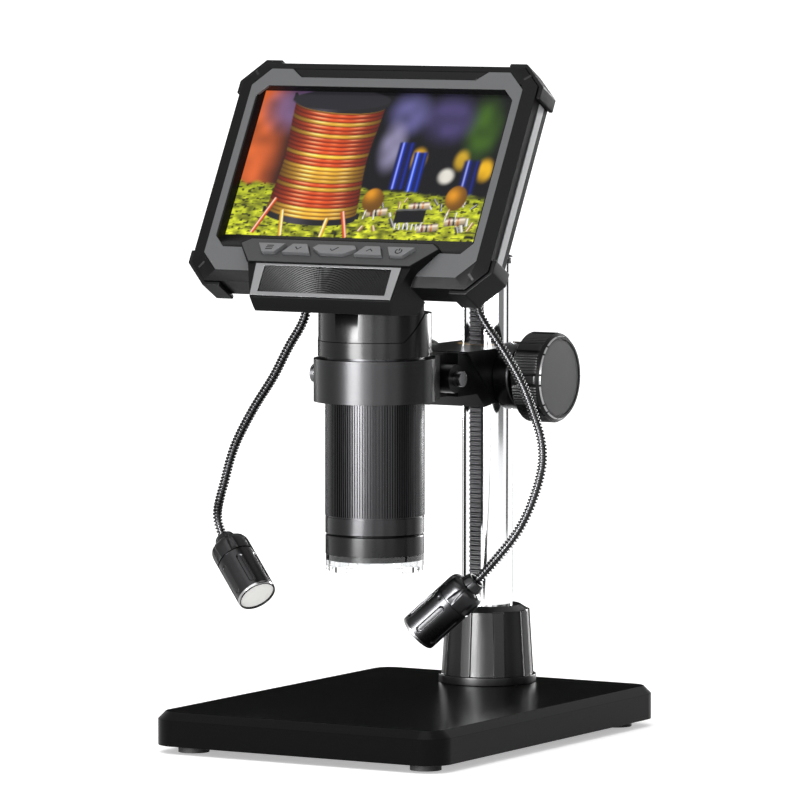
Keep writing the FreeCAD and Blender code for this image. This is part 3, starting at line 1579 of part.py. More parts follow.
# Speaker grille, its bright frame and the speaker
keep(
    "grille_panel",
    pad(new_body("grille_panel", DISPLAY), "XZ", f"{GRILLE_FRONT}", "grille_thick",
        wide_box("grille_half", GRILLE_LOW, GRILLE_TOP)),
)
FRAME_HALF = "(grille_half + frame_post)"
frame = new_body("grille_frame", DISPLAY)
pad(
    frame,
    "XZ",
    f"{GRILLE_FRONT} - frame_proud",
    "frame_proud",
    [
        (f"-{FRAME_HALF} - 1", f"{GRILLE_TOP} + frame_top"),
        (f"-{FRAME_HALF}", f"{GRILLE_LOW} - frame_lip"),
        (FRAME_HALF, f"{GRILLE_LOW} - frame_lip"),
        (f"{FRAME_HALF} + 1", f"{GRILLE_TOP} + frame_top"),
    ],
    wide_box("grille_half", GRILLE_LOW, GRILLE_TOP),
)
keep("grille_frame", frame)
keep(
    "speaker",
    pad(new_body("speaker", DISPLAY), "XZ", f"{GRILLE_FRONT} + grille_thick", "speaker_thick",
        wide_box("speaker_half", f"{SPEAKER_V} - speaker_tall / 2", f"{SPEAKER_V} + speaker_tall / 2")),
)

# Routes of the two lamp arms: steps from each boss, chosen by eye
ROUTES = {
    "left": [
        (0.0, 7.0, -5.3),
        (0.2, 9.6, -13.0),
        (0.4, 9.9, -24.0),
        (-0.9, 9.8, -36.3),
        (-7.3, 9.8, -46.9),
        (-15.5, 9.8, -60.7),
        (-21.9, 9.8, -69.6),
        (-28.3, 9.8, -79.4),
        (-33.8, 9.8, -89.9),
        (-37.9, 9.8, -102.7),
        (-40.4, 10.0, -110.5),
        (-41.6, 10.8, -116.0),
        (-38.6, 10.6, -124.3),
        (-35.6, 9.3, -127.3),
    ],
    "right": [
        (0.0, 7.0, -5.3),
        (-0.2, 9.5, -12.4),
        (-0.2, 9.9, -21.0),
        (0.4, 9.8, -30.4),
        (7.0, 9.8, -40.7),
        (14.2, 9.8, -50.2),
        (20.4, 9.8, -60.2),
        (25.0, 9.8, -70.7),
        (28.1, 9.8, -79.5),
        (29.2, 8.8, -88.3),
        (27.7, 7.8, -97.2),
        (24.8, 5.8, -106.9),
        (19.8, 3.8, -116.8),
        (13.2, 1.8, -125.4),
        (6.7, 0.8, -132.5),
        (2.0, -0.4, -136.9),
    ],
}
ROOT_D = f"({CASE_BACK} + root_boss_long + 1.2)"
STEM = "(0.8 * neck_root_radius)"
SIDES = {"left": "-arm_root_side", "right": "arm_root_side"}
LEAN_Y = f"({SCOPE_Y} - display_forward + {ROOT_D} * cos(screen_tilt) + {ROOT_V} * sin(screen_tilt))"
LEAN_Z = f"({HEAD_TOP} + display_up - {ROOT_D} * sin(screen_tilt) + {ROOT_V} * cos(screen_tilt))"


def lamp_arm(side):
    """A ribbed tube along its route, with a ferrule at its root and a ball at its tip."""
    root = vector(SIDES[side], LEAN_Y, LEAN_Z)
    tilt = math.radians(number("screen_tilt"))
    inward = FreeCAD.Vector(0, math.cos(tilt), -math.sin(tilt))
    heading = math.radians(number(f"{side}_heading"))
    dip = math.radians(number(f"{side}_dip"))
    level = math.cos(dip)
    outward = FreeCAD.Vector(math.cos(heading) * level, math.sin(heading) * level, -math.sin(dip))
    curve = Part.BSplineCurve()
    points = [root] + [root + FreeCAD.Vector(*step) for step in ROUTES[side]]
    curve.interpolate(Points=points, InitialTangent=inward, FinalTangent=outward, Scale=False)
    length = curve.length()
    end = curve.value(curve.LastParameter)
    crest = number("neck_rib_radius")
    valley = number("neck_root_radius")
    stem = number(STEM)
    ball = number("ball_radius")
    plain = 2 * crest
    tip = ball + 3.2
    count = round(number("neck_ribs"))
    pitch = (length - tip - plain) / count
    sleeve = number("ferrule_radius")
    stations = [(-number("ferrule_long"), sleeve), (0, sleeve), (0.05, crest), (plain, crest)]
    for rib in range(count):
        start = plain + rib * pitch
        stations += [(start + share * pitch, radius)
                     for share, radius in ((0.18, valley), (0.42, valley), (0.6, crest), (1.0, crest))]
    stations.append((length - tip + 0.4, stem))
    for turn in range(9):
        angle = math.asin(stem / ball) + turn * (math.pi - 2 * math.asin(stem / ball)) / 8
        stations.append((length - ball * math.cos(angle), ball * math.sin(angle)))
    bore = number("neck_bore_radius")
    across = FreeCAD.Vector(1, 0, 0)
    outer, inner = [], []
    for place, (distance, radius) in enumerate(stations):
        if distance <= 0:
            point, along = root + inward * distance, inward
        elif distance >= length:
            point, along = end + outward * (distance - length), outward
        else:
            at = curve.parameterAtDistance(distance)
            point, along = curve.value(at), FreeCAD.Vector(*curve.tangent(at)[0])
        across = (across - along * across.dot(along)).normalize()
        seat = FreeCAD.Placement(point, FreeCAD.Rotation(across, along.cross(across), along, "ZXY"))
        sizes = [(outer, radius)]
        if place % 4 == 0 or place == len(stations) - 1:
            sizes.append((inner, bore))
        for rings, size in sizes:
            ring = Part.Wire(Part.makeCircle(size))
            ring.Placement = seat
            rings.append(ring)
    skin = Part.makeLoft(outer, False, True)
    lining = Part.makeLoft(inner, False, True)
    ends = [Part.makeFace([outer[i], inner[i]], "Part::FaceMakerBullseye") for i in (0, -1)]
    walls = Part.makeShell(skin.Faces + lining.Faces + ends)
    walls.sewShape()
    tube = Part.makeSolid(walls)
    if tube.Volume < 0:
        tube.reverse()
    print(f"{side} lamp arm: {length:.1f} mm along its route, {count} ribs at {pitch:.2f} mm")
    return tube


for side in SIDES:
    keep(f"lamp_arm_{side}", feature(f"lamp_arm_{side}", lamp_arm(side)))
    x, y, z = ROUTES[side][-1]
    where = spot(
        f"{SIDES[side]} + {x}",
        f"{LEAN_Y} + {y}",
        f"{LEAN_Z} + {z}",
        f"rotation(vector(0; 0; 1); {side}_heading) * rotation(vector(0; 1; 0); 90 + {side}_dip)",
    )
    body = turned(
        f"lamp_body_{side}",
        where,
        [
            ("0", "-lamp_collar_long"),
            ("lamp_collar_radius - 0.6", "-lamp_collar_long"),
            ("lamp_collar_radius", "-lamp_collar_long + 0.8"),
            ("lamp_collar_radius + 0.6", "-1.2"),
            ("lamp_radius - 1.2", "1.2"),
            ("lamp_radius - 0.2", "2.8"),
            ("lamp_radius", "4"),
            ("lamp_radius", "lamp_cap_long"),
            ("lamp_radius - 0.4", "lamp_cap_long"),
            ("lamp_radius - 0.4", "lamp_cap_long + 0.5"),
            ("lamp_radius", "lamp_cap_long + 0.5"),
            ("lamp_radius", "lamp_long"),
            ("lamp_radius - lamp_rim", "lamp_long"),
            ("lamp_radius - lamp_rim", "lamp_long - lamp_face_deep - lamp_face_thick"),
            ("0", "lamp_long - lamp_face_deep - lamp_face_thick"),
        ],
    )
    slot = pocket(
        body,
        "YZ",
        "lamp_radius - lamp_slot_deep",
        "lamp_slot_deep + 1",
        wide_box("lamp_slot_wide / 2", "lamp_cap_long + lamp_slot_in", "lamp_long - lamp_slot_in"),
    )
    around(body, slot, "lamp_slots")
    socket_ball = doc.addObject("Part::Sphere", f"lamp_socket_{side}")
    bind(socket_ball, Radius="ball_radius + ball_clearance", Placement=where)
    mouth = doc.addObject("Part::Cone", f"lamp_mouth_{side}")
    narrow = f"({STEM} + lamp_mouth_gap)"
    bind(
        mouth,
        Radius1=f"{narrow} + lamp_collar_long * tan(lamp_mouth_wide)",
        Radius2=narrow,
        Height="lamp_collar_long",
        Placement=f"{where} * {spot(z='-lamp_collar_long')}",
    )
    keep(f"lamp_{side}", less(f"lamp_{side}", body, socket_ball, mouth))
    face = turned(
        f"lamp_face_{side}",
        where,
        [
            ("0", "lamp_long - lamp_face_deep - lamp_face_thick"),
            ("lamp_radius - lamp_rim", "lamp_long - lamp_face_deep - lamp_face_thick"),
            ("lamp_radius - lamp_rim", "lamp_long - lamp_face_deep"),
            ("0", "lamp_long - lamp_face_deep"),
        ],
    )
    keep(f"lamp_face_{side}", face)

# Check every object, then write each sub-part to its own file
doc.recompute()
for thing in doc.Objects:
    if "Invalid" in thing.State or "Error" in thing.State:
        raise RuntimeError(f"{thing.Name} failed: {thing.State}")
os.makedirs("parts", exist_ok=True)
for name, thing in nodes.items():
    shape = thing.Shape
    if shape.isNull() or not shape.isValid() or not shape.Solids:
        raise RuntimeError(f"{name} has no sound solid")
    if min(solid.Volume for solid in shape.Solids) <= 0:
        raise RuntimeError(f"{name} has an inside-out solid")
for name, thing in nodes.items():
    thing.Shape.exportStep(f"parts/{name}.step")
print(f"{len(nodes)} sub-parts written")
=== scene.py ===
import json
import math

import bmesh
import bpy
import numpy as np
from mathutils import Matrix, Vector
from mathutils.bvhtree import BVHTree


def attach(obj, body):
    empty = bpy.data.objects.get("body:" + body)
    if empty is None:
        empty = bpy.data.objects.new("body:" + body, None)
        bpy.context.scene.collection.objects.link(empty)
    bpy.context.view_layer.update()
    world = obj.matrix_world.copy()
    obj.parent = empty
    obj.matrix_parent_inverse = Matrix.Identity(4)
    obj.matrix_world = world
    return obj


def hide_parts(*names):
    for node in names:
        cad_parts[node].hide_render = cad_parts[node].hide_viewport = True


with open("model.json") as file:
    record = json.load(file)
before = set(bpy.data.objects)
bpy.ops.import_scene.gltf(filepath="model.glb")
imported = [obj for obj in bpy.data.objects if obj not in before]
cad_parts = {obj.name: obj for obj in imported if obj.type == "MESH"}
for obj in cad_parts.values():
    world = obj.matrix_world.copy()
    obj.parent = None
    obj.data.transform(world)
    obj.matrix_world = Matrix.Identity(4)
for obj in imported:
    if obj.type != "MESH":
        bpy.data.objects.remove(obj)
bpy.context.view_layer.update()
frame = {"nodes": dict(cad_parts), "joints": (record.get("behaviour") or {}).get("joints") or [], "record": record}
nodes = frame["nodes"]
joints = {joint["name"]: joint for joint in frame["joints"]}
mm = 0.001
bpy.context.scene.view_settings.view_transform = "Standard"


def addObject(name, data):
    # an object at the origin for a mesh, a lamp or the camera, put into the scene
    item = bpy.data.objects.new(name, data)
    bpy.context.scene.collection.objects.link(item)
    return item


# Camera: from the front right and a little above, in metres, its upright tipped by a slight roll
camera = {"lens": 300, "sensor": 36, "near": 0.05, "far": 40, "aim": (0, -0.0064, 0.1323), "away": 2.574,
          "side": (0.8625, 0.506, 0), "up": (-0.0397, 0.0677, 0.9969)}


def makeCamera(values):
    # it looks square to side and up, and stands away from its aim
    data = bpy.data.cameras.new("photoCamera")
    data.lens = values["lens"]
    data.sensor_width = values["sensor"]
    data.clip_start, data.clip_end = values["near"], values["far"]
    right = Vector(values["side"]).normalized()
    up = Vector(values["up"]).normalized()
    back = right.cross(up).normalized()
    right = up.cross(back)
    turned = Matrix((right, up, back)).transposed()
    item = addObject("photoCamera", data)
    item.matrix_world = Matrix.Translation(Vector(values["aim"]) + back * values["away"]) @ turned.to_4x4()
    bpy.context.scene.camera = item
    return np.array(right), np.array(back)


cameraRight, cameraBack = makeCamera(camera)


# Shared shader groups
def newGroup(name, inputs, outputs):
    # a shader node group with named sockets: label -> (kind, starting value)
    group = bpy.data.node_groups.new(name, "ShaderNodeTree")
    for label, (kind, value) in inputs.items():
        socket = group.interface.new_socket(label, in_out="INPUT", socket_type="NodeSocket" + kind)
        socket.default_value = value
    for label, kind in outputs.items():
        group.interface.new_socket(label, in_out="OUTPUT", socket_type="NodeSocket" + kind)
    return group, group.nodes.new("NodeGroupInput"), group.nodes.new("NodeGroupOutput")


def mathNode(tree, operation, *values):
    # a math node whose inputs are numbers or other nodes' sockets
    node = tree.nodes.new("ShaderNodeMath")
    node.operation = operation
    for place, value in enumerate(values):
        if isinstance(value, (int, float)):
            node.inputs[place].default_value = value
        else:
            tree.links.new(value, node.inputs[place])
    return node.outputs[0]


def makeGrainGroup(slowShare=0.04):
    # fine noise shades the colour and is the height; noise at slowShare of its scale moves the roughness
    group, given, result = newGroup(
        "surfaceGrain",
        {"Colour": ("Color", (0.5, 0.5, 0.5, 1)), "Shade": ("Float", 0.1), "Roughness": ("Float", 0.4),
         "Spread": ("Float", 0.1), "Scale": ("Float", 1500.0), "Stretch": ("Vector", (1, 1, 1))},
        {"Colour": "Color", "Roughness": "Float", "Height": "Float"},
    )
    link = group.links.new
    where = group.nodes.new("ShaderNodeTexCoord")
    stretch = group.nodes.new("ShaderNodeVectorMath")
    stretch.operation = "MULTIPLY"
    link(where.outputs["Object"], stretch.inputs[0])
    link(given.outputs["Stretch"], stretch.inputs[1])
    fine = group.nodes.new("ShaderNodeTexNoise")
    fine.inputs["Detail"].default_value = 3
    link(stretch.outputs[0], fine.inputs["Vector"])
    link(given.outputs["Scale"], fine.inputs["Scale"])
    slow = group.nodes.new("ShaderNodeTexNoise")
    slow.inputs["Detail"].default_value = 2
    link(where.outputs["Object"], slow.inputs["Vector"])
    link(mathNode(group, "MULTIPLY", given.outputs["Scale"], slowShare), slow.inputs["Scale"])
    swing = mathNode(group, "SUBTRACT", fine.outputs[0], 0.5)
    share = mathNode(group, "MULTIPLY_ADD", swing, given.outputs["Shade"], 1.0)
    tint = group.nodes.new("ShaderNodeVectorMath")
    tint.operation = "SCALE"
    link(given.outputs["Colour"], tint.inputs[0])
    link(share, tint.inputs["Scale"])
    link(tint.outputs[0], result.inputs["Colour"])
    drift = mathNode(group, "SUBTRACT", slow.outputs[0], 0.5)
    link(mathNode(group, "MULTIPLY_ADD", drift, given.outputs["Spread"], given.outputs["Roughness"]),
         result.inputs["Roughness"])
    link(fine.outputs[0], result.inputs["Height"])
    return group


grainGroup = makeGrainGroup()


def newShader(name, settings):
    # a material whose main shader has the given settings on its own sockets
    material = bpy.data.materials.new(name)
    material.use_nodes = True
    shader = material.node_tree.nodes["Principled BSDF"]
    for label, value in settings.items():
        shader.inputs[label].default_value = value
    return material, material.node_tree, shader


# What a finish has where its own row says nothing; bumpDepth in metres
plainFinish = {"shade": 0.3, "spread": 0.08, "scale": 1500, "stretch": (1, 1, 1), "metallic": 0,
               "specular": 0.4, "clear": 0, "ior": 1.49, "glow": 0, "bump": 0, "bumpDepth": 0.0001}


def makeFinish(name, colour, roughness, own):
    # a surface whose colour, roughness and bump come from the grain group
    values = {**plainFinish, **own, "roughness": roughness}
    colour = (*colour, 1)
    settings = {"Metallic": values["metallic"], "Specular IOR Level": values["specular"]}
    if values["clear"]:
        settings.update({"Transmission Weight": values["clear"], "IOR": values["ior"]})
    if values["glow"]:
        settings.update({"Emission Color": colour, "Emission Strength": values["glow"]})
    material, tree, shader = newShader(name, settings)
    grain = tree.nodes.new("ShaderNodeGroup")
    grain.node_tree = grainGroup
    grain.inputs["Colour"].default_value = colour
    for label in ("Shade", "Roughness", "Spread", "Scale", "Stretch"):
        grain.inputs[label].default_value = values[label.lower()]
    tree.links.new(grain.outputs["Colour"], shader.inputs["Base Color"])
    tree.links.new(grain.outputs["Roughness"], shader.inputs["Roughness"])
    if values["bump"]:
        relief = tree.nodes.new("ShaderNodeBump")
        relief.inputs["Strength"].default_value = values["bump"]
        relief.inputs["Distance"].default_value = values["bumpDepth"]
        tree.links.new(grain.outputs["Height"], relief.inputs["Height"])
        tree.links.new(relief.outputs[0], shader.inputs["Normal"])
    return material


# One finish for each of the record's slots, and a few for parts of new pieces: colour, roughness, and
# what differs from the plain finish
finishes = {
    "base_lacquer": ((0.004, 0.004, 0.0042), 0.28,
                     {"specular": 0.05, "spread": 0.015, "bump": 0.03, "scale": 2600}),
    "foot_rubber": ((0.02, 0.02, 0.02), 0.7, {"specular": 0.25, "bump": 0.3}),
    "screw_steel": ((0.55, 0.55, 0.56), 0.3, {"metallic": 1, "stretch": (1, 1, 12)}),
    "gloss_black": ((0.004, 0.004, 0.0044), 0.24, {"specular": 0.16, "spread": 0.05}),
    "column_chrome": ((0.74, 0.745, 0.755), 0.07,
                      {"metallic": 1, "shade": 0.06, "spread": 0.04, "scale": 300, "stretch": (1, 1, 20)}),
    "rack_steel": ((0.04, 0.04, 0.041), 0.34, {"metallic": 1}),
    "satin_black": ((0.018, 0.018, 0.0187), 0.3, {"metallic": 0.9, "specular": 0.3, "bump": 0.1}),
    "bush_brass": ((0.62, 0.43, 0.19), 0.35, {"metallic": 1}),
    "black_steel": ((0.12, 0.12, 0.125), 0.25, {"metallic": 1}),
    "knob_black": ((0.006, 0.006, 0.0065), 0.28, {"specular": 0.12}),
    "knob_grey": ((0.009, 0.009, 0.0094), 0.34, {"metallic": 0.9, "specular": 0.3}),
    "barrel_black": ((0.02, 0.02, 0.021), 0.27,
                     {"metallic": 1, "shade": 0.2, "scale": 900, "stretch": (1, 1, 14), "bump": 0.05}),
    "board_green": ((0.02, 0.13, 0.05), 0.4, {}),
    "led_white": ((0.9, 0.9, 0.87), 0.3, {"shade": 0.03, "glow": 0.5}),
    "clear_plastic": ((0.8, 0.81, 0.815), 0.03, {"clear": 1, "shade": 0.01, "spread": 0.01}),
    "sleeve_black": ((0.02, 0.02, 0.0208), 0.24, {"metallic": 1, "shade": 0.2}),
    "lens_glass": ((0.95, 0.96, 0.98), 0.02, {"clear": 1, "shade": 0.01, "spread": 0.01}),
    "case_black": ((0.005, 0.005, 0.0053), 0.36, {"specular": 0.06, "bump": 0.2, "scale": 2400}),
    "bezel_grey": ((0.125, 0.127, 0.131), 0.45,
                   {"specular": 0.18, "bump": 0.15, "shade": 0.12, "scale": 2600}),
    "screen_glass": ((0.008, 0.008, 0.009), 0.15, {"specular": 0.2}),
    "panel_silver": ((0.5, 0.5, 0.5), 0.4, {"metallic": 1}),
    "battery_wrap": ((0.05, 0.12, 0.3), 0.4, {}),
    "bumper_black": ((0.006, 0.006, 0.0064), 0.4, {"specular": 0.08, "bump": 0.3, "scale": 2200}),
    "strip_silver": ((0.26, 0.262, 0.267), 0.38, {"metallic": 0.8, "stretch": (8, 1, 1)}),
    "grille_black": ((0.003, 0.003, 0.003), 0.42, {"specular": 0.1}),
    "speaker_black": ((0.02, 0.02, 0.02), 0.6, {}),
    "button_grey": ((0.17, 0.172, 0.177), 0.42, {"specular": 0.3, "bump": 0.15, "scale": 2600}),
    "arm_black": ((0.024, 0.024, 0.025), 0.3, {"metallic": 0.9, "specular": 0.3}),
    "lamp_black": ((0.021, 0.021, 0.022), 0.28, {"metallic": 0.9, "specular": 0.3, "bump": 0.05}),
    "brightRim": ((0.3, 0.3, 0.305), 0.25, {"metallic": 1}),
    "gripBlack": ((0.007, 0.007, 0.0074), 0.42, {"specular": 0.2, "bump": 0.2}),
    "iconBlack": ((0.006, 0.006, 0.006), 0.5, {"specular": 0.2}),
    "socketBlack": ((0.004, 0.004, 0.0042), 0.3, {"specular": 0.18, "bump": 0.1}),
    "plateGrey": ((0.05, 0.0505, 0.052), 0.42, {"specular": 0.2, "bump": 0.15, "scale": 2600}),
    "frameSteel": ((0.15, 0.15, 0.153), 0.36, {"metallic": 1, "stretch": (8, 1, 1)}),
}
materials = {name: makeFinish(name, *row) for name, row in finishes.items()}
print("finishes made:", len(materials))


# Shading of the carried-over nodes
def makeShadeGroup():
    # every face smooth, then each edge that turns by more than Angle made sharp again
    group = bpy.data.node_groups.new("shadeByAngle", "GeometryNodeTree")
    group.interface.new_socket("Geometry", in_out="INPUT", socket_type="NodeSocketGeometry")
    limit = group.interface.new_socket("Angle", in_out="INPUT", socket_type="NodeSocketFloat")
    limit.default_value = 0.5
    group.interface.new_socket("Geometry", in_out="OUTPUT", socket_type="NodeSocketGeometry")
    link = group.links.new
    given, result = group.nodes.new("NodeGroupInput"), group.nodes.new("NodeGroupOutput")
    bare = group.nodes.new("GeometryNodeRemoveAttribute")
    bare.inputs["Name"].default_value = "custom_normal"
    link(given.outputs["Geometry"], bare.inputs["Geometry"])
    steps = [bare.outputs[0]]
    for domain, smooth in (("FACE", True), ("EDGE", True), ("EDGE", False)):
        step = group.nodes.new("GeometryNodeSetShadeSmooth")
        step.domain = domain
        step.inputs["Shade Smooth"].default_value = smooth
        link(steps[-1], step.inputs["Geometry"])
        steps.append(step.outputs[0])
    bend = group.nodes.new("GeometryNodeInputMeshEdgeAngle")
    compare = group.nodes.new("FunctionNodeCompare")
    compare.data_type, compare.operation = "FLOAT", "GREATER_THAN"
    link(bend.outputs["Unsigned Angle"], compare.inputs[0])
    link(given.outputs["Angle"], compare.inputs[1])
    link(compare.outputs[0], step.inputs["Selection"])
    link(steps[-1], result.inputs["Geometry"])
    return group


shadeGroup = makeShadeGroup()


# How every carried-over node is shaded: weld in metres, angles in degrees
shading = {"weld": 2e-6, "flat": 0.6, "angle": 32, "segments": 2}


def shadeNode(item, bevel, values):
    # joined corners, flat faces merged, edges rounded by bevel, and normals from the large faces
    turn = math.radians(values["angle"])
    weld = item.modifiers.new("weld", "WELD")
    weld.merge_threshold = values["weld"]
    if bevel:
        flat = item.modifiers.new("flat", "DECIMATE")
        flat.decimate_type = "DISSOLVE"
        flat.angle_limit = math.radians(values["flat"])
        edge = item.modifiers.new("edge", "BEVEL")
        edge.width = bevel * mm
        edge.segments = values["segments"]
        edge.limit_method = "ANGLE"
        edge.angle_limit = turn
        edge.miter_outer = "MITER_ARC"
    shade = item.modifiers.new("shade", "NODES")
    shade.node_group = shadeGroup
    shade["Socket_1"] = turn
    normal = item.modifiers.new("normal", "WEIGHTED_NORMAL")
    normal.keep_sharp = True


# Edge rounding of each node in mm; nodes that aren't named here get 0
rounding = {
    "base_plate": 0.5, "column_socket": 0.35, "focus_block": 0.45, "arm_bracket": 0.4, "joint_plate": 0.2,
    "neck_block": 0.3, "display_case": 0.45, "rear_cover": 0.4, "front_bezel": 0.2, "top_insert": 0.12,
    "corner_bumpers": 0.5, "side_strips": 0.12, "button_plate": 0.15, "grille_frame": 0.1,
    **{f"{key}_button": 0.22 for key in ("menu", "down", "enter", "up", "power")},
    "bearing_collars": 0.5, "head_housing": 0.35, "nose_ring": 0.15, "barrel_tube": 0.12, "column_cap": 0.3,
    "arm_screws": 0.2, "arm_clamp_screw": 0.2, "ring_thumbscrew": 0.15,
}
slotOf = {part["node"]: part["material_slot"] for part in frame["record"]["subparts"]}
ownFinish = {"button_plate": "plateGrey", "grille_frame": "frameSteel", "column_socket": "socketBlack",
             "bearing_collars": "barrel_black"}
for name, item in nodes.items():
    shadeNode(item, rounding.get(name, 0), shading)
    item.data.materials.clear()
    item.data.materials.append(materials[ownFinish.get(name, slotOf[name])])
print("nodes dressed:", len(nodes))


# Ways of the leaning display and of the keypad, taken from the joints
def axesFrom(joint):
    # across is to the right, depth follows the joint's axis, and up is square to both
    depth = Vector(joints[joint]["axis"]).normalized()
    across = Vector((1, 0, 0))
    return np.array([across, depth, across.cross(depth)])


displayAxes = axesFrom("left_arm_swing")
keypadAxes = axesFrom("menu_press")


def nodePoints(node):
    # the corners of a node's mesh as rows of x, y, z
    mesh = nodes[node].data
    points = np.empty(len(mesh.vertices) * 3, np.float32)
    mesh.vertices.foreach_get("co", points)
    return points.reshape(-1, 3).astype(float)


def boxIn(axes, node):
    # lowest and highest of across, depth and up over a node's corners
    spots = nodePoints(node) @ axes.T
    return spots.min(0), spots.max(0)


def placeIn(axes, across, depth, up):
    # across, depth and up along the three axes, added up to a point
    across, depth, up = np.broadcast_arrays(across, depth, up)
    return across[..., None] * axes[0] + depth[..., None] * axes[1] + up[..., None] * axes[2]


def faceGrid(node, values):
    # a grid of across and up over the box of a display node, and the box's lowest and highest corners
    low, high = boxIn(displayAxes, node)
    across = np.linspace(low[0], high[0], values["columns"])
    up = np.linspace(low[2], high[2], values["rows"])
    return *np.meshgrid(across, up), low, high


# Mesh makers
joinWithin = 1e-7


def addMesh(name, points, faces, body, slot, stands=(), finish=None, smooth=35, chosen=None, merge=True):
    # a mesh from corners and faces, its doubles merged and its normals outward, riding on a body
    mesh = bpy.data.meshes.new(name)
    mesh.from_pydata(np.asarray(points).reshape(-1, 3).tolist(), [], faces)
    if chosen is not None:
        mesh.polygons.foreach_set("material_index", np.asarray(chosen, np.int32))
    if merge:
        work = bmesh.new()
        work.from_mesh(mesh)
        bmesh.ops.remove_doubles(work, verts=work.verts, dist=joinWithin)
        bmesh.ops.recalc_face_normals(work, faces=work.faces)
        work.to_mesh(mesh)
        work.free()
    mesh.update()
    item = addObject(name, mesh)
    for finishName in finish or [slot]:
        mesh.materials.append(materials[finishName])
    if smooth:
        mesh.shade_smooth()
        shade = item.modifiers.new("shade", "NODES")
        shade.node_group = shadeGroup
        shade["Socket_1"] = math.radians(smooth)
    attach(item, body)
    if stands:
        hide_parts(*stands)
    return item


def gridFaces(rows, columns, wrap=False, start=0):
    # the quads between neighbouring rows and columns of a grid of corners
    places = np.arange(rows * columns).reshape(rows, columns) + start
    if wrap:
        places = np.concatenate([places, places[:, :1]], 1)
    return np.stack([places[:-1, :-1], places[:-1, 1:], places[1:, 1:], places[1:, :-1]], -1).reshape(-1, 4)


def prismFaces(rings, start):
    # the sides and both ends of a bar whose rings have four corners each
    faces = gridFaces(rings, 4, wrap=True, start=start).tolist()
    return faces + [[start, start + 1, start + 2, start + 3], [start + rings * 4 - k for k in (1, 2, 3, 4)]]


def addRound(name, origin, axes, along, radius, body, slot, caps=True, chosen=None, **more):
    # rings round axes[0]: each ring has its place along the axis and its radius, which may change with the
    # angle; chosen has a material index for each face between rings, and the caps take the first material
    rows, columns = radius.shape
    angle = np.linspace(0, 2 * np.pi, columns, endpoint=False)
    rim = np.cos(angle)[:, None] * axes[1] + np.sin(angle)[:, None] * axes[2]
    points = origin + along[..., None] * axes[0] + radius[..., None] * rim
    ends = np.array([points[0].mean(0), points[-1].mean(0)])
    faces = gridFaces(rows, columns, wrap=True)[:, ::-1].tolist()
    if not caps:
        return addMesh(name, points, faces, body, slot, **more)
    first, last = rows * columns, rows * columns + 1
    ring = np.arange(columns)
    after = np.roll(ring, -1)
    faces += np.stack([ring, after, np.full(columns, first)], -1).tolist()
    low = (rows - 1) * columns
    faces += np.stack([after + low, ring + low, np.full(columns, last)], -1).tolist()
    if chosen is not None:
        chosen = np.pad(chosen.ravel(), (0, 2 * columns))
    points = np.concatenate([points.reshape(-1, 3), ends])
    return addMesh(name, points, faces, body, slot, chosen=chosen, **more)


def addSlab(name, front, back, body, slot, **more):
    # a front sheet, one more ring of corners round it moved by back for its sides, and one flat face behind
    points = np.pad(front, ((1, 1), (1, 1), (0, 0)), mode="edge")
    ring = np.ones(points.shape[:2], bool)
    ring[1:-1, 1:-1] = False
    points[ring] += back
    rows, columns = ring.shape
    faces = gridFaces(rows, columns).tolist()
    places = np.arange(rows * columns).reshape(rows, columns)
    loop = np.concatenate([places[0, :-1], places[:-1, -1], places[-1, :0:-1], places[:0:-1, 0]])
    faces.append(loop[::-1].tolist())
    return addMesh(name, points, faces, body, slot, **more)


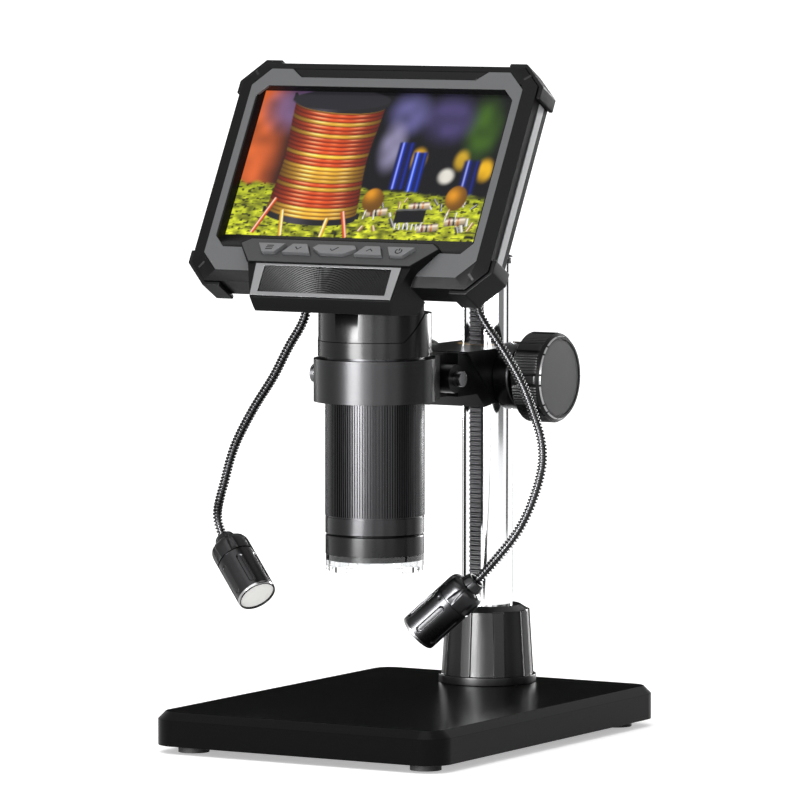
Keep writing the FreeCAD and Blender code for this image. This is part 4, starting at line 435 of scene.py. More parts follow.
# Screen picture: a made-up circuit board seen through the scope, in mm from the picture's middle
picture = {
    "columns": 352, "rows": 198, "wide": 110.7, "high": 62.3, "topGap": 2.75, "glass": 1.0, "edgeBlur": 0.2,
    "seed": 11, "lattice": 97, "gain": 1.3, "depth": 1.3, "dark": (0.004, 0.004, 0.007), "farShare": 0.9,
    "farLights": [
        (-58, 6, 15, 44, 16, (0.62, 0.17, 0.05)), (-41, 24, 10, 9, 12, (0.2, 0.13, 0.24)),
        (46, 16, 7, 12, 8, (0.07, 0.15, 0.015)), (30, 20, 10, 9, 10, (0.10, 0.08, 0.2)),
        (12, 22, 8, 8, 9, (0.15, 0.14, 0.3)), (8, 8, 5, 9, 6, (0.3, 0.28, 0.4)),
        (51, -1, 3.4, 4.6, 3, (0.75, 0.47, 0.02)), (21, 3, 3.2, 4.4, 3, (0.8, 0.5, 0.03)),
        (40, 3, 3, 4, 3, (0.5, 0.34, 0.03)), (35, -4, 3.4, 3.2, 2.5, (0.62, 0.6, 0.55)),
    ],
    "cans": [(14.5, -10, 10, 3.4, 1.2, (0.012, 0.05, 0.42)), (21.5, -11, 6, 3.0, 1.2, (0.02, 0.09, 0.6)),
             (45, -13, 3, 3.6, 2.0, (0.015, 0.04, 0.3))],
    "board": {"edge": 10.5, "slope": 0.04, "ragged": 1.6, "tooth": 4, "blur": 2.2, "nearFrom": -10,
              "nearLong": 20, "low": (0.30, 0.34, 0.018), "high": (0.42, 0.42, 0.05), "pitFrom": 0.26,
              "pitBlur": 0.12, "pitDepth": 0.8,
              # shift across, squash upwards and size of four clouds: coarse, fine, tone and pits
              "clouds": [(0, 2.2, 1.6), (31, 2.6, 0.7), (9, 2.5, 3.2), (50, 3, 1.5)]},
    "litter": {"count": 34, "across": (2, 55), "up": (-29, -13), "lean": (-2.5, 2.5), "tall": (1.5, 4.5),
               "radius": 0.35, "nearer": 0.03, "farEnd": -12,
               "tints": ((0.55, 0.52, 0.45), (0.45, 0.3, 0.12), (0.12, 0.11, 0.1))},
    "resistors": {"places": ((9, -20), (27, -17), (44, -23), (33, -26)), "half": 4.5, "radius": 1.7,
                  "ends": (-0.5, 0.6), "tint": (0.5, 0.42, 0.3), "bandFrom": -2.6, "bandPitch": 1.9,
                  "bandLong": 0.8, "bandRise": 0.1, "bandRadius": 1.72,
                  "bands": ((0.25, 0.05, 0.02), (0.02, 0.02, 0.02), (0.5, 0.2, 0.02))},
    "chip": {"x": 24, "half": 6.5, "slope": 0.05, "pins": 7, "pinFrom": 18.5, "pinPitch": 1.85,
             "pinLean": 0.2, "pinUp": (-24.4, -26.9), "pinRadius": 0.42, "pinTint": (0.6, 0.6, 0.6),
             "faces": ((-22.5, 2.6, 0.5, (0.012, 0.012, 0.014)), (-19.6, 0.35, 0.3, (0.16, 0.16, 0.17)))},
    "discs": {"places": ((6, -15), (42, -13)), "wide": 4.6, "high": 5.2, "tint": (0.55, 0.27, 0.02),
              "shineLeft": 1.6, "shineUp": -12, "shineWide": 3.2, "legs": ((-1.8, -2.4), (1.8, 2.2)),
              "legUp": (-19, -23), "legRadius": 0.35, "legTint": (0.6, 0.58, 0.5)},
    "drum": {"x": -20, "low": -21, "high": 25, "radius": 20.5, "pitch": 1.75, "sag": 0.2, "slope": 0.05,
             "waist": 0.10, "waistAt": 2, "waistLong": 16, "turns": 120, "firstTurn": 40, "goldShare": 0.45,
             "flange": 1.06, "flangeThick": (3.4, 2.6), "flangeDrop": 2.2, "lidUp": 2.6, "lidSag": 1.05,
             "gold": ((0.22, 0.10, 0.01), (0.85, 0.52, 0.07), (0.75, 0.68, 0.42)),
             "copper": ((0.17, 0.018, 0.004), (0.72, 0.13, 0.025), (0.75, 0.5, 0.32)),
             "streaks": ((-0.38, 0.2, 0.85), (0.55, 0.14, 0.6), (0.1, 0.1, 0.3)),
             "flangeTint": (0.10, 0.095, 0.11), "lidTint": (0.035, 0.033, 0.04)},
    "coilEnds": [((-37, -15), (-44, -30), (0.7, 0.14, 0.03)), ((-33, -20), (-31, -31), (0.8, 0.5, 0.07)),
                 ((-6, -20), (-2, -31), (0.72, 0.14, 0.03)), ((-12, -23), (-13, -31), (0.8, 0.5, 0.07))],
    "coilEndRadius": 0.9,
}


def coverOf(distance, blur):
    # 1 inside the edge, 0 outside it, eased over the blur
    share = np.clip(0.5 - distance / blur, 0, 1)
    return share * share * (3 - 2 * share)


def layOn(colour, cover, tint):
    # the tint replaces the colour as far as the cover says
    colour += cover[..., None] * (np.asarray(tint) - colour)


def cloud(x, y, size, table):
    # smooth noise: random values at lattice points, eased between them
    i, j = np.floor(x / size).astype(int), np.floor(y / size).astype(int)
    s, t = x / size - i, y / size - j
    s, t = s * s * (3 - 2 * s), t * t * (3 - 2 * t)
    n = len(table)
    low = table[i % n, j % n] * (1 - s) + table[(i + 1) % n, j % n] * s
    high = table[i % n, (j + 1) % n] * (1 - s) + table[(i + 1) % n, (j + 1) % n] * s
    return low * (1 - t) + high * t


def bell(value, centre, width):
    # a bell curve that is 1 at its centre
    return np.exp(-(((value - centre) / width) ** 2))


def paintDrum(colour, x, y, drum, random):
    # an upright coil: turns sag round the drum, each shaded as a round wire, copper and gold by chance
    out = x - drum["x"]
    front = np.sqrt(np.clip(1 - (out / drum["radius"]) ** 2, 0, 1))
    lift = y + drum["sag"] * drum["radius"] * front + drum["slope"] * x
    waist = drum["radius"] * (1 - drum["waist"] * bell(y, drum["waistAt"], drum["waistLong"]))
    side = out / waist
    body = coverOf(np.abs(out) - waist, 0.6) * coverOf(drum["low"] - lift, 0.5)
    body *= coverOf(lift - drum["high"], 0.5)
    turn = lift / drum["pitch"]
    across = 2 * (turn - np.floor(turn)) - 1
    golden = random.random(drum["turns"]) < drum["goldShare"]
    tone = 0.75 + 0.5 * random.random(drum["turns"])
    place = (np.floor(turn).astype(int) + drum["firstTurn"]) % drum["turns"]
    gold = golden[place][..., None]
    deep, mid, glint = (np.where(gold, *pair) for pair in zip(drum["gold"], drum["copper"]))
    light = (1 - across**2) * (0.25 + 0.75 * np.clip(1 - side**2, 0, 1))
    wire = deep + (mid - deep) * (light * tone[place])[..., None]
    shine = bell(across, 0.35, 0.3) * sum(share * bell(side, at, wide) for at, wide, share in drum["streaks"])
    wire += shine[..., None] * glint
    wire *= (0.35 + 0.65 * np.clip(1.25 - np.abs(side), 0, 1))[..., None]
    layOn(colour, body, wire)
    rim = drum["radius"] * drum["flange"]
    shade = 0.25 + 0.75 * bell(side, -0.35, 0.28)
    levels = (drum["high"], drum["low"] - drum["flangeDrop"])
    for level, thick in zip(levels, drum["flangeThick"]):
        cover = coverOf(np.abs(out) - rim, 0.5) * coverOf(level - lift, 0.4)
        cover *= coverOf(lift - level - thick, 0.4)
        layOn(colour, cover, np.array(drum["flangeTint"]) * shade[..., None])
    sag = drum["sag"] * drum["radius"] * drum["lidSag"]
    lid = (out / rim) ** 2 + ((y - drum["high"] - drum["lidUp"]) / sag) ** 2
    layOn(colour, coverOf((lid - 1) * 3, 0.6), drum["lidTint"])


def paintCan(colour, x, y, can):
    # an upright can, blurred, with one light streak
    centre, low, high, half, blur, tint = can
    cover = coverOf(np.abs(x - centre) - half, blur) * coverOf(low - y, blur) * coverOf(y - high, blur)
    side = (x - centre) / half
    shade = 0.25 + 1.1 * bell(side, -0.45, 0.25) + 0.5 * bell(side, 0.6, 0.15)
    layOn(colour, cover, np.array(tint) * shade[..., None] + 0.35 * bell(side, -0.5, 0.1)[..., None])


def paintRod(colour, x, y, start, end, radius, tint, gloss):
    # a wire or a resistor's body from start to end, round in section, lit from above
    start, end = np.array(start, float), np.array(end, float)
    way = end - start
    length = np.hypot(*way)
    way /= length
    along = (x - start[0]) * way[0] + (y - start[1]) * way[1]
    off = (x - start[0]) * -way[1] + (y - start[1]) * way[0]
    cover = coverOf(np.abs(off) - radius, 0.4) * coverOf(-along, 0.4) * coverOf(along - length, 0.4)
    across = off / radius * np.sign(way[0] + 1e-6)
    shade = 0.35 + 0.65 * np.clip(1 - across**2, 0, 1)
    layOn(colour, cover, np.array(tint) * shade[..., None] + gloss * bell(across, 0.4, 0.3)[..., None])


def paintBoard(colour, x, y, board, table):
    # a board below a ragged edge, its grain stronger towards the viewer, with dark hollows
    teeth = cloud(x, 0 * x, board["tooth"], table) - 0.5
    edge = y + board["edge"] + board["slope"] * x + board["ragged"] * teeth
    coarse, fine, tone, pits = (cloud(x + shift, squash * y, size, table)
                                for shift, squash, size in board["clouds"])
    near = np.clip((board["nearFrom"] - y) / board["nearLong"], 0, 1)
    grain = 0.6 * coarse + 0.4 * fine
    tint = np.array(board["low"]) + (grain * (0.5 + near))[..., None] * board["high"]
    tint *= (0.25 + tone)[..., None]
    level = coverOf(board["pitFrom"] - pits, board["pitBlur"])
    tint *= (1 - board["pitDepth"] * (1 - level))[..., None]
    layOn(colour, coverOf(edge, board["blur"]), tint)


def paintLitter(colour, x, y, litter, random):
    # short leads stand about at random, thicker towards the viewer
    for place in range(litter["count"]):
        rootX = random.uniform(*litter["across"])
        rootY = random.uniform(*litter["up"])
        radius = litter["radius"] + litter["nearer"] * (litter["farEnd"] - rootY)
        lean = random.uniform(*litter["lean"])
        tall = random.uniform(*litter["tall"])
        tint = litter["tints"][place % len(litter["tints"])]
        paintRod(colour, x, y, (rootX, rootY), (rootX + lean, rootY + tall), radius, tint, 0.5)


def paintParts(colour, x, y, resistors, chip, discs):
    # banded resistors as rods, a chip as two slanted bars with pins, and round discs on two legs
    half = resistors["half"]
    low, high = resistors["ends"]
    for centreX, centreY in resistors["places"]:
        start, end = (centreX - half, centreY + low), (centreX + half, centreY + high)
        paintRod(colour, x, y, start, end, resistors["radius"], resistors["tint"], 0.35)
        for band, tint in enumerate(resistors["bands"]):
            left = centreX + resistors["bandFrom"] + resistors["bandPitch"] * band
            end = (left + resistors["bandLong"], centreY + resistors["bandRise"])
            paintRod(colour, x, y, (left, centreY), end, resistors["bandRadius"], tint, 0.3)
    for level, tall, blur, tint in chip["faces"]:
        cover = coverOf(np.abs(x - chip["x"]) - chip["half"], 0.5)
        cover *= coverOf(np.abs(y - level - chip["slope"] * x) - tall, blur)
        layOn(colour, cover, tint)
    pinTop, pinFoot = chip["pinUp"]
    for pin in range(chip["pins"]):
        left = chip["pinFrom"] + chip["pinPitch"] * pin
        start, end = (left, pinTop), (left + chip["pinLean"], pinFoot)
        paintRod(colour, x, y, start, end, chip["pinRadius"], chip["pinTint"], 0.6)
    legTop, legFoot = discs["legUp"]
    for hub, level in discs["places"]:
        disc = np.hypot((x - hub) / discs["wide"], (y - level) / discs["high"]) - 1
        shine = bell(np.hypot(x - hub + discs["shineLeft"], y - discs["shineUp"]), 0, discs["shineWide"])
        shade = 0.35 + 0.9 * shine
        layOn(colour, coverOf(disc * discs["wide"], 0.9), np.array(discs["tint"]) * shade[..., None])
        for top, foot in discs["legs"]:
            start, end = (hub + top, legTop), (hub + foot, legFoot)
            paintRod(colour, x, y, start, end, discs["legRadius"], discs["legTint"], 0.5)


def paintPicture(x, y, values):
    # the whole view: dark room with blurred lights, the board with its parts, and the coil
    random = np.random.default_rng(values["seed"])
    table = random.random((values["lattice"], values["lattice"]))
    colour = np.zeros(x.shape + (3,)) + values["dark"]
    for centreX, centreY, wide, high, blur, tint in values["farLights"]:
        reach = np.hypot((x - centreX) / wide, (y - centreY) / high) - 1
        layOn(colour, coverOf(reach * min(wide, high), blur) * values["farShare"], tint)
    colour *= (0.75 + 0.5 * cloud(x, y, 5, table))[..., None]
    for can in values["cans"]:
        paintCan(colour, x, y, can)
    paintBoard(colour, x, y, values["board"], table)
    paintLitter(colour, x, y, values["litter"], random)
    paintParts(colour, x, y, values["resistors"], values["chip"], values["discs"])
    paintDrum(colour, x, y, values["drum"], random)
    for start, end, tint in values["coilEnds"]:
        paintRod(colour, x, y, start, end, values["coilEndRadius"], tint, 0.6)
    return np.clip(values["gain"] * np.clip(colour, 0, 1) ** values["depth"], 0, 1)


def makePictureFinish():
    # the picture glows by itself behind a thin gloss
    material, tree, shader = newShader("screenPicture", {
        "Base Color": (0.006, 0.006, 0.007, 1), "Roughness": 0.18, "Specular IOR Level": 0.15,
        "Emission Strength": 1})
    paint = tree.nodes.new("ShaderNodeVertexColor")
    paint.layer_name = "picture"
    tree.links.new(paint.outputs["Color"], shader.inputs["Emission Color"])
    return material


def makeScreen(values):
    # a glass sheet in the display's plane whose colours are the painted picture, black round its edge
    u, v, low, high = faceGrid("screen_glass", values)
    front = placeIn(displayAxes, u, low[1], v)
    middle = high[2] - (values["topGap"] + values["high"] / 2) * mm
    x, y = u / mm, (v - middle) / mm
    colour = paintPicture(x, y, values)
    frameEdge = np.maximum(np.abs(x) - values["wide"] / 2, np.abs(y) - values["high"] / 2)
    colour *= coverOf(frameEdge, values["edgeBlur"])[..., None]
    materials["screenPicture"] = makePictureFinish()
    item = addSlab("screenPicture", front, displayAxes[1] * values["glass"] * mm, "display", "screen_glass",
                   stands=["screen_glass"], finish=["screenPicture"], smooth=20, merge=False)
    colour = np.pad(colour, ((1, 1), (1, 1), (0, 0)), constant_values=0)
    paint = item.data.color_attributes.new("picture", "FLOAT_COLOR", "POINT")
    rgba = np.concatenate([colour.reshape(-1, 3), np.ones((colour.size // 3, 1))], 1)
    paint.data.foreach_set("color", rgba.astype(np.float32).ravel())


makeScreen(picture)
print("screen painted")


# Lamp arms: fine ribbed necks on their routes, steps in mm from each boss
arms = {
    "ribPitch": 1.35, "crest": 1.9, "valley": 1.25, "soft": 0.06, "stem": 1.2, "stemFrom": 2.8, "ball": 2.5,
    "lead": 3.2, "ferrule": 2.4, "ferruleLong": 7.0, "around": 20, "ballRings": 12, "samples": 4000,
    "ribShares": (0.12, 0.36, 0.5, 0.64, 0.88, 1.0), "collarProud": 0.1, "collarFrom": 0.05,
    "collarSlope": 0.1, "lookAhead": 0.05, "endWithin": 0.06, "aslant": (0.6, 0.8, 0),
    "routes": {
        "left": [(0, 7.0, -5.3), (0.2, 9.6, -13.0), (0.4, 9.9, -24.0), (-0.9, 9.8, -36.3), (-7.3, 9.8, -46.9),
                 (-15.5, 9.8, -60.7), (-21.9, 9.8, -69.6), (-28.3, 9.8, -79.4), (-33.8, 9.8, -89.9),
                 (-37.9, 9.8, -102.7), (-40.4, 10.0, -110.5), (-41.6, 10.8, -116.0), (-38.6, 10.6, -124.3),
                 (-35.6, 9.3, -127.3)],
        "right": [(0, 7.0, -5.3), (-0.2, 9.5, -12.4), (-0.2, 9.9, -21.0), (0.4, 9.8, -30.4),
                  (7.0, 9.8, -40.7), (14.2, 9.8, -50.2), (20.4, 9.8, -60.2), (25.0, 9.8, -70.7),
                  (28.1, 9.8, -79.5), (29.2, 8.8, -88.3), (27.7, 7.8, -97.2), (24.8, 5.8, -106.9),
                  (19.8, 3.8, -116.8), (13.2, 1.8, -125.4), (6.7, 0.8, -132.5), (2.0, -0.4, -136.9)],
    },
    "roots": {"left": (-38, -22.787, 199.999), "right": (38, -22.787, 199.999)},
    "aims": {"left": (-24, 42.4), "right": (194, 42.1)},
}


def aimOf(heading, dip):
    # a level heading and a dip below it, in degrees, as a unit step
    heading, dip = np.radians(heading), np.radians(dip)
    return np.array((np.cos(heading) * np.cos(dip), np.sin(heading) * np.cos(dip), -np.sin(dip)))


def smoothRoute(points, startWay, endWay, count):
    # a cubic through the points with even curvature, its ends along the given ways
    gaps = np.linalg.norm(np.diff(points, axis=0), axis=1)
    knots = np.concatenate([[0], np.cumsum(gaps)])
    n = len(points)
    rows = np.zeros((n, n))
    right = np.zeros((n, 3))
    rows[0, 0] = rows[-1, -1] = 1
    right[0], right[-1] = startWay, endWay
    inner = np.arange(1, n - 1)
    rows[inner, inner - 1] = gaps[1:]
    rows[inner, inner] = 2 * (gaps[:-1] + gaps[1:])
    rows[inner, inner + 1] = gaps[:-1]
    slope = np.diff(points, axis=0) / gaps[:, None]
    right[1:-1] = 3 * (gaps[1:, None] * slope[:-1] + gaps[:-1, None] * slope[1:])
    ways = np.linalg.solve(rows, right)
    t = np.linspace(0, knots[-1], count)
    part = np.clip(np.searchsorted(knots, t, side="right") - 1, 0, n - 2)
    g = gaps[part][:, None]
    s = (t - knots[part])[:, None] / g
    return ((2 * s**3 - 3 * s**2 + 1) * points[part] + (s**3 - 2 * s**2 + s) * g * ways[part]
            + (3 * s**2 - 2 * s**3) * points[part + 1] + (s**3 - s**2) * g * ways[part + 1])


def makeArm(side, values):
    # rings along the route: ferrule, plain collar, ribs of crest and valley, then the ball in the lamp
    root = np.array(values["roots"][side], float)
    points = np.vstack([root, root + np.array(values["routes"][side], float)])
    inward = displayAxes[1]
    outward = aimOf(*values["aims"][side])
    fine = smoothRoute(points, inward, outward, values["samples"])
    walked = np.concatenate([[0], np.cumsum(np.linalg.norm(np.diff(fine, axis=0), axis=1))])
    length = walked[-1]
    crest, valley, stem, ball = values["crest"], values["valley"], values["stem"], values["ball"]
    plain = 2 * crest
    ribbed = length - ball - values["lead"] - plain
    count = round(ribbed / values["ribPitch"])
    shoulder = crest - values["soft"]
    sizes = np.array((valley, valley, shoulder, crest, shoulder, valley))
    ribs = plain + (np.arange(count)[:, None] + values["ribShares"]) * ribbed / count
    bend = np.linspace(np.arcsin(stem / ball), np.pi, values["ballRings"])
    collar = crest + values["collarProud"]
    collarPlaces = [values["collarFrom"], plain - values["collarSlope"], plain]
    distance = np.concatenate([[-values["ferruleLong"], 0], collarPlaces, ribs.ravel(),
                               [length - ball - values["stemFrom"]], length - ball * np.cos(bend)])
    radius = np.concatenate([[values["ferrule"], values["ferrule"], collar, collar, valley],
                             np.tile(sizes, count), [stem], ball * np.sin(bend)])

    def onRoute(walk):
        # the place at each distance walked along the route
        return np.stack([np.interp(walk, walked, fine[:, axis]) for axis in range(3)], -1)

    place = onRoute(distance)
    way = onRoute(distance + values["lookAhead"]) - onRoute(distance - values["lookAhead"])
    atEnd = distance[:, None] >= length - values["endWithin"]
    way = np.where(distance[:, None] <= 0, inward, np.where(atEnd, outward, way))
    way /= np.linalg.norm(way, axis=1)[:, None]
    place += np.minimum(distance, 0)[:, None] * inward + np.maximum(distance - length, 0)[:, None] * outward
    across = np.cross(way, values["aslant"])
    across /= np.linalg.norm(across, axis=1)[:, None]
    other = np.cross(way, across)
    angle = np.linspace(0, 2 * np.pi, values["around"], endpoint=False)
    rim = np.cos(angle)[None, :, None] * across[:, None] + np.sin(angle)[None, :, None] * other[:, None]
    rings = (place[:, None] + radius[:, None, None] * rim) * mm
    rows, columns = rings.shape[:2]
    faces = gridFaces(rows, columns, wrap=True).tolist()
    faces.append(np.arange(columns)[::-1].tolist())
    faces.append((np.arange(columns) + (rows - 1) * columns).tolist())
    addMesh(f"ribbedNeck_{side}", rings, faces, f"{side}_arm", "arm_black", stands=[f"lamp_arm_{side}"],
            smooth=50)
    return length


for side in ("left", "right"):
    print(side, "neck:", round(makeArm(side, arms), 1), "mm")


# Focusing knobs: textured panels, grooves and smooth bars round the rim, profile in mm from the block
knob = {
    "start": 27.3, "centre": (47.5, 139), "around": 768, "periods": 8, "panel": 0.62, "bar": 0.26,
    "groove": 0.5, "blur": 0.04, "sunk": 0.22, "ripple": 0.11, "ripples": 12, "rimNotch": 0.3,
    "gripFrom": 1.8, "gripTo": 11.9, "gripFade": 0.8, "gripRows": (1, 7), "rimRow": 9,
    "profile": [(0, 3), (0, 15.2), (0.8, 16.6), (1.6, 17.6), (2.2, 17.6), (6.5, 17.6), (11.0, 17.6),
                (11.7, 17.6), (12.2, 17.3), (13.1, 16.3), (13.7, 15.9), (13.7, 14.95), (12.5, 14.85),
                (12.5, 3)],
}


def makeKnob(side, values):
    # radius = profile, less the sunk ripples inside each panel and the groove at each panel's edge
    turn = np.linspace(0, values["periods"], values["around"], endpoint=False)
    inPeriod = np.abs(turn - np.floor(turn) - 0.5) * 2
    panel = coverOf(inPeriod - values["panel"], values["blur"])
    bar = coverOf(1 - values["bar"] - inPeriod, values["blur"])
    ripple = np.cos(2 * np.pi * turn * values["ripples"]) * values["ripple"]
    dent = panel * (values["sunk"] - ripple) + (1 - panel) * (1 - bar) * values["groove"]
    place, radius = np.array(values["profile"], float).T
    fade = values["gripFade"]
    grip = coverOf(values["gripFrom"] - place, fade) * coverOf(place - values["gripTo"], fade)
    radius = radius[:, None] - grip[:, None] * dent
    way = 1 if side == "right" else -1
    axes = np.array([(way, 0, 0), (0, way, 0), (0, 0, 1)])
    origin = np.array((way * values["start"], *values["centre"])) * mm
    rows, columns = radius.shape
    chosen = np.zeros((rows - 1, columns), int)
    chosen[slice(*values["gripRows"])] = np.where(panel > 0.5, 1, 0)
    chosen[values["rimRow"]] = np.where((1 - panel) * (1 - bar) > values["rimNotch"], 0, 2)
    addRound(f"gripKnob_{side}", origin, axes, place[:, None] * mm, radius * mm, "focus_knobs", "knob_black",
             stands=[f"knob_{side}"], finish=["knob_black", "gripBlack", "brightRim"], chosen=chosen)


for side in ("left", "right"):
    makeKnob(side, knob)


# Lamp heads: a shoulder of six petals, a seam, slots and a bright front rim, profile in mm from the ball;
# the barrel's rings go in before row barrelRow
lamp = {
    "around": 192, "petals": 6, "petalDent": 0.55, "petalHalf": 0.35, "petalWiden": 0.12, "petalFrom": -1.4,
    "petalTo": 6.2, "petalBlur": (0.5, 0.8, 1.2), "widenFrom": -1.2, "widenLong": 9, "slotDent": 0.4,
    "slotFrom": 10.6, "slotTo": 24.2, "slotHalf": 1.15, "slotBlur": 0.4, "slotWithin": (8, 26),
    "holeAt": 9.3, "holeHalf": 0.75, "holeDent": 0.35, "holeBlur": 0.3, "barrel": 7.8,
    "barrelRings": (8.2, 26.0, 0.3), "barrelRow": 21, "rimRows": (-6, -2),
    "profile": [(2.45, 0.5), (1.8, 1.8), (0, 2.58), (-1.6, 2.0), (-4.6, 2.75), (-4.6, 3.3), (-4.3, 3.65),
                (-3.8, 3.9), (-1.2, 4.5), (-0.9, 5.6), (-0.4, 6.6), (0.3, 7.3), (1.2, 7.65), (2.4, 7.8),
                (4, 7.8), (5, 7.8), (6, 7.8), (7.2, 7.8), (7.3, 7.4), (7.8, 7.4), (7.9, 7.8), (26.2, 7.8),
                (26.8, 7.7), (27, 7.45), (27, 7.0), (24.9, 6.92), (24.9, 0.5)],
    "balls": {"left": (-73.6, -13.487, 72.699), "right": (40, -23.187, 63.099)},
}


def makeLamp(side, values):
    # radius = profile, less a valley between petals on the shoulder and rounded slots along the barrel
    place, radius = np.array(values["profile"], float).T
    body, row = np.arange(*values["barrelRings"]), values["barrelRow"]
    place, radius = np.insert(place, row, body), np.insert(radius, row, np.full(len(body), values["barrel"]))
    angle = np.linspace(0, 2 * np.pi, values["around"], endpoint=False)
    along, turn = np.meshgrid(place, angle, indexing="ij")
    step = 2 * np.pi / values["petals"]
    near = ((turn / step + 0.5) % 1 - 0.5) * step * radius[:, None]
    sideBlur, footBlur, topBlur = values["petalBlur"]
    widened = np.clip(along - values["widenFrom"], 0, values["widenLong"])
    half = values["petalHalf"] + values["petalWiden"] * widened
    petal = coverOf(np.abs(near) - half, sideBlur) * coverOf(values["petalFrom"] - along, footBlur)
    petal *= coverOf(along - values["petalTo"], topBlur)
    ends = np.clip(np.maximum(values["slotFrom"] + values["slotHalf"] - along,
                              along - values["slotTo"] + values["slotHalf"]), 0, None)
    low, high = values["slotWithin"]
    slot = coverOf(np.hypot(near, ends) - values["slotHalf"], values["slotBlur"])
    slot *= (along > low) * (along < high)
    far = ((turn / step) % 1 - 0.5) * step * radius[:, None]
    hole = coverOf(np.hypot(far, along - values["holeAt"]) - values["holeHalf"], values["holeBlur"])
    hole *= turn < step
    sizes = radius[:, None] - values["petalDent"] * petal - values["slotDent"] * slot
    sizes -= values["holeDent"] * hole
    way = aimOf(*arms["aims"][side])
    across = np.cross((0, 0, 1), way)
    across /= np.linalg.norm(across)
    axes = np.array([way, across, np.cross(way, across)])
    rows, columns = sizes.shape
    chosen = np.zeros((rows - 1, columns), int)
    chosen[slice(*values["rimRows"])] = 1
    centre = np.array(values["balls"][side]) * mm
    addRound(f"lampHead_{side}", centre, axes, along * mm, sizes * mm, f"{side}_lamp", "lamp_black",
             stands=[f"lamp_{side}"], finish=["lamp_black", "brightRim"], chosen=chosen)


for side in ("left", "right"):
    makeLamp(side, lamp)
print("knobs and lamps made")


# Grille: fine arcs round one point below the middle, in mm
grille = {"pitch": 0.95, "height": 0.28, "columns": 330, "rows": 60, "centre": (0, -12), "inset": 0.05,
          "thick": 0.8}


def makeGrille(values):
    # depth = front, less a cosine of the distance from the centre
    u, v, low, high = faceGrid("grille_panel", values)
    x, y = (u - (low[0] + high[0]) / 2) / mm, (v - low[2]) / mm
    reach = np.hypot(x - values["centre"][0], y - values["centre"][1])
    ridge = (0.5 - 0.5 * np.cos(2 * np.pi * reach / values["pitch"])) * values["height"]
    depth = low[1] + (values["inset"] + ridge) * mm
    front = placeIn(displayAxes, u, depth, v)
    addSlab("grilleArcs", front, displayAxes[1] * values["thick"] * mm, "display", "grille_black",
            stands=["grille_panel"])


makeGrille(grille)


# Generic signs on the five buttons, strokes in mm from each button's middle
signs = {
    "wide": 0.52, "proud": 0.03, "sunk": 0.3,
    "strokes": {
        "menu": [[(-1.5, 1.0), (1.5, 1.0)], [(-1.5, 0), (1.5, 0)], [(-1.5, -1.0), (1.5, -1.0)]],
        "down": [[(-1.3, 0.6), (0, -0.7), (1.3, 0.6)]],
        "enter": [[(-1.5, 0.1), (-0.4, -1.0), (1.7, 1.1)]],
        "up": [[(-1.3, -0.6), (0, 0.7), (1.3, -0.6)]],
        "power": [[(1.3 * math.sin(math.radians(turn)), 1.3 * math.cos(math.radians(turn)))
                   for turn in range(40, 321, 20)], [(0, 0.3), (0, 1.6)]],
    },
}


def makeSign(name, values):
    # each stroke is a thin prism along its points, its width across the way that it runs
    low, high = boxIn(keypadAxes, f"{name}_button")
    middle = (low + high) / 2
    points, faces = [], []
    for stroke in values["strokes"][name]:
        line = np.array(stroke, float)
        way = np.gradient(line, axis=0)
        way /= np.linalg.norm(way, axis=1)[:, None]
        side = np.stack([-way[:, 1], way[:, 0]], 1) * values["wide"] / 2
        section = np.stack([line - side, line + side, line + side, line - side], 1)
        depth = np.array((-values["proud"], -values["proud"], values["sunk"], values["sunk"]))
        rings = placeIn(keypadAxes, middle[0] + section[..., 0] * mm, low[1] + depth * mm,
                        middle[2] + section[..., 1] * mm)
        start = sum(len(part) for part in points)
        points.append(rings.reshape(-1, 3))
        faces += prismFaces(len(line), start)
    addMesh(f"sign_{name}", np.concatenate(points), faces, f"{name}_key", "button_grey",
            finish=["iconBlack"], smooth=0)


for name in signs["strokes"]:
    makeSign(name, signs)
print("grille and signs made")


# Light baffle: a black ring under the nose, seen through the clear shroud, profile in mm downwards
baffle = {"top": 74.6, "around": 96,
          "profile": [(0, 14.6), (0, 17.3), (2.3, 17.3), (2.3, 16.2), (1.2, 14.6), (0, 14.6)]}


def makeBaffle(values):
    # a closed profile turned round the scope's axis
    place, radius = np.array(values["profile"], float).T
    centre = joints["focus_turn"]["pos_m"]
    axes = np.array([(0, 0, -1), (0, 1, 0), (1, 0, 0)])
    radius = np.broadcast_to(radius[:, None], (len(radius), values["around"]))
    addRound("lightBaffle", np.array((centre[0], centre[1], values["top"] * mm)), axes, place[:, None] * mm,
             radius * mm, "scope", "gloss_black", caps=False)


makeBaffle(baffle)


# Vents on the back cover: two fields of louvres, in mm from the cover's middle
vents = {"across": (-26, 26), "up": 16, "wide": 15, "high": 13, "pitch": 2.6, "proud": 0.7, "gap": 0.05,
         "sideInset": 0.8, "sideFade": 0.8, "endInset": 0.4, "endFade": 0.6, "slope": 1.25, "dropAt": 0.9,
         "dropFade": 0.1, "thick": 0.6, "columns": 90, "rows": 120}


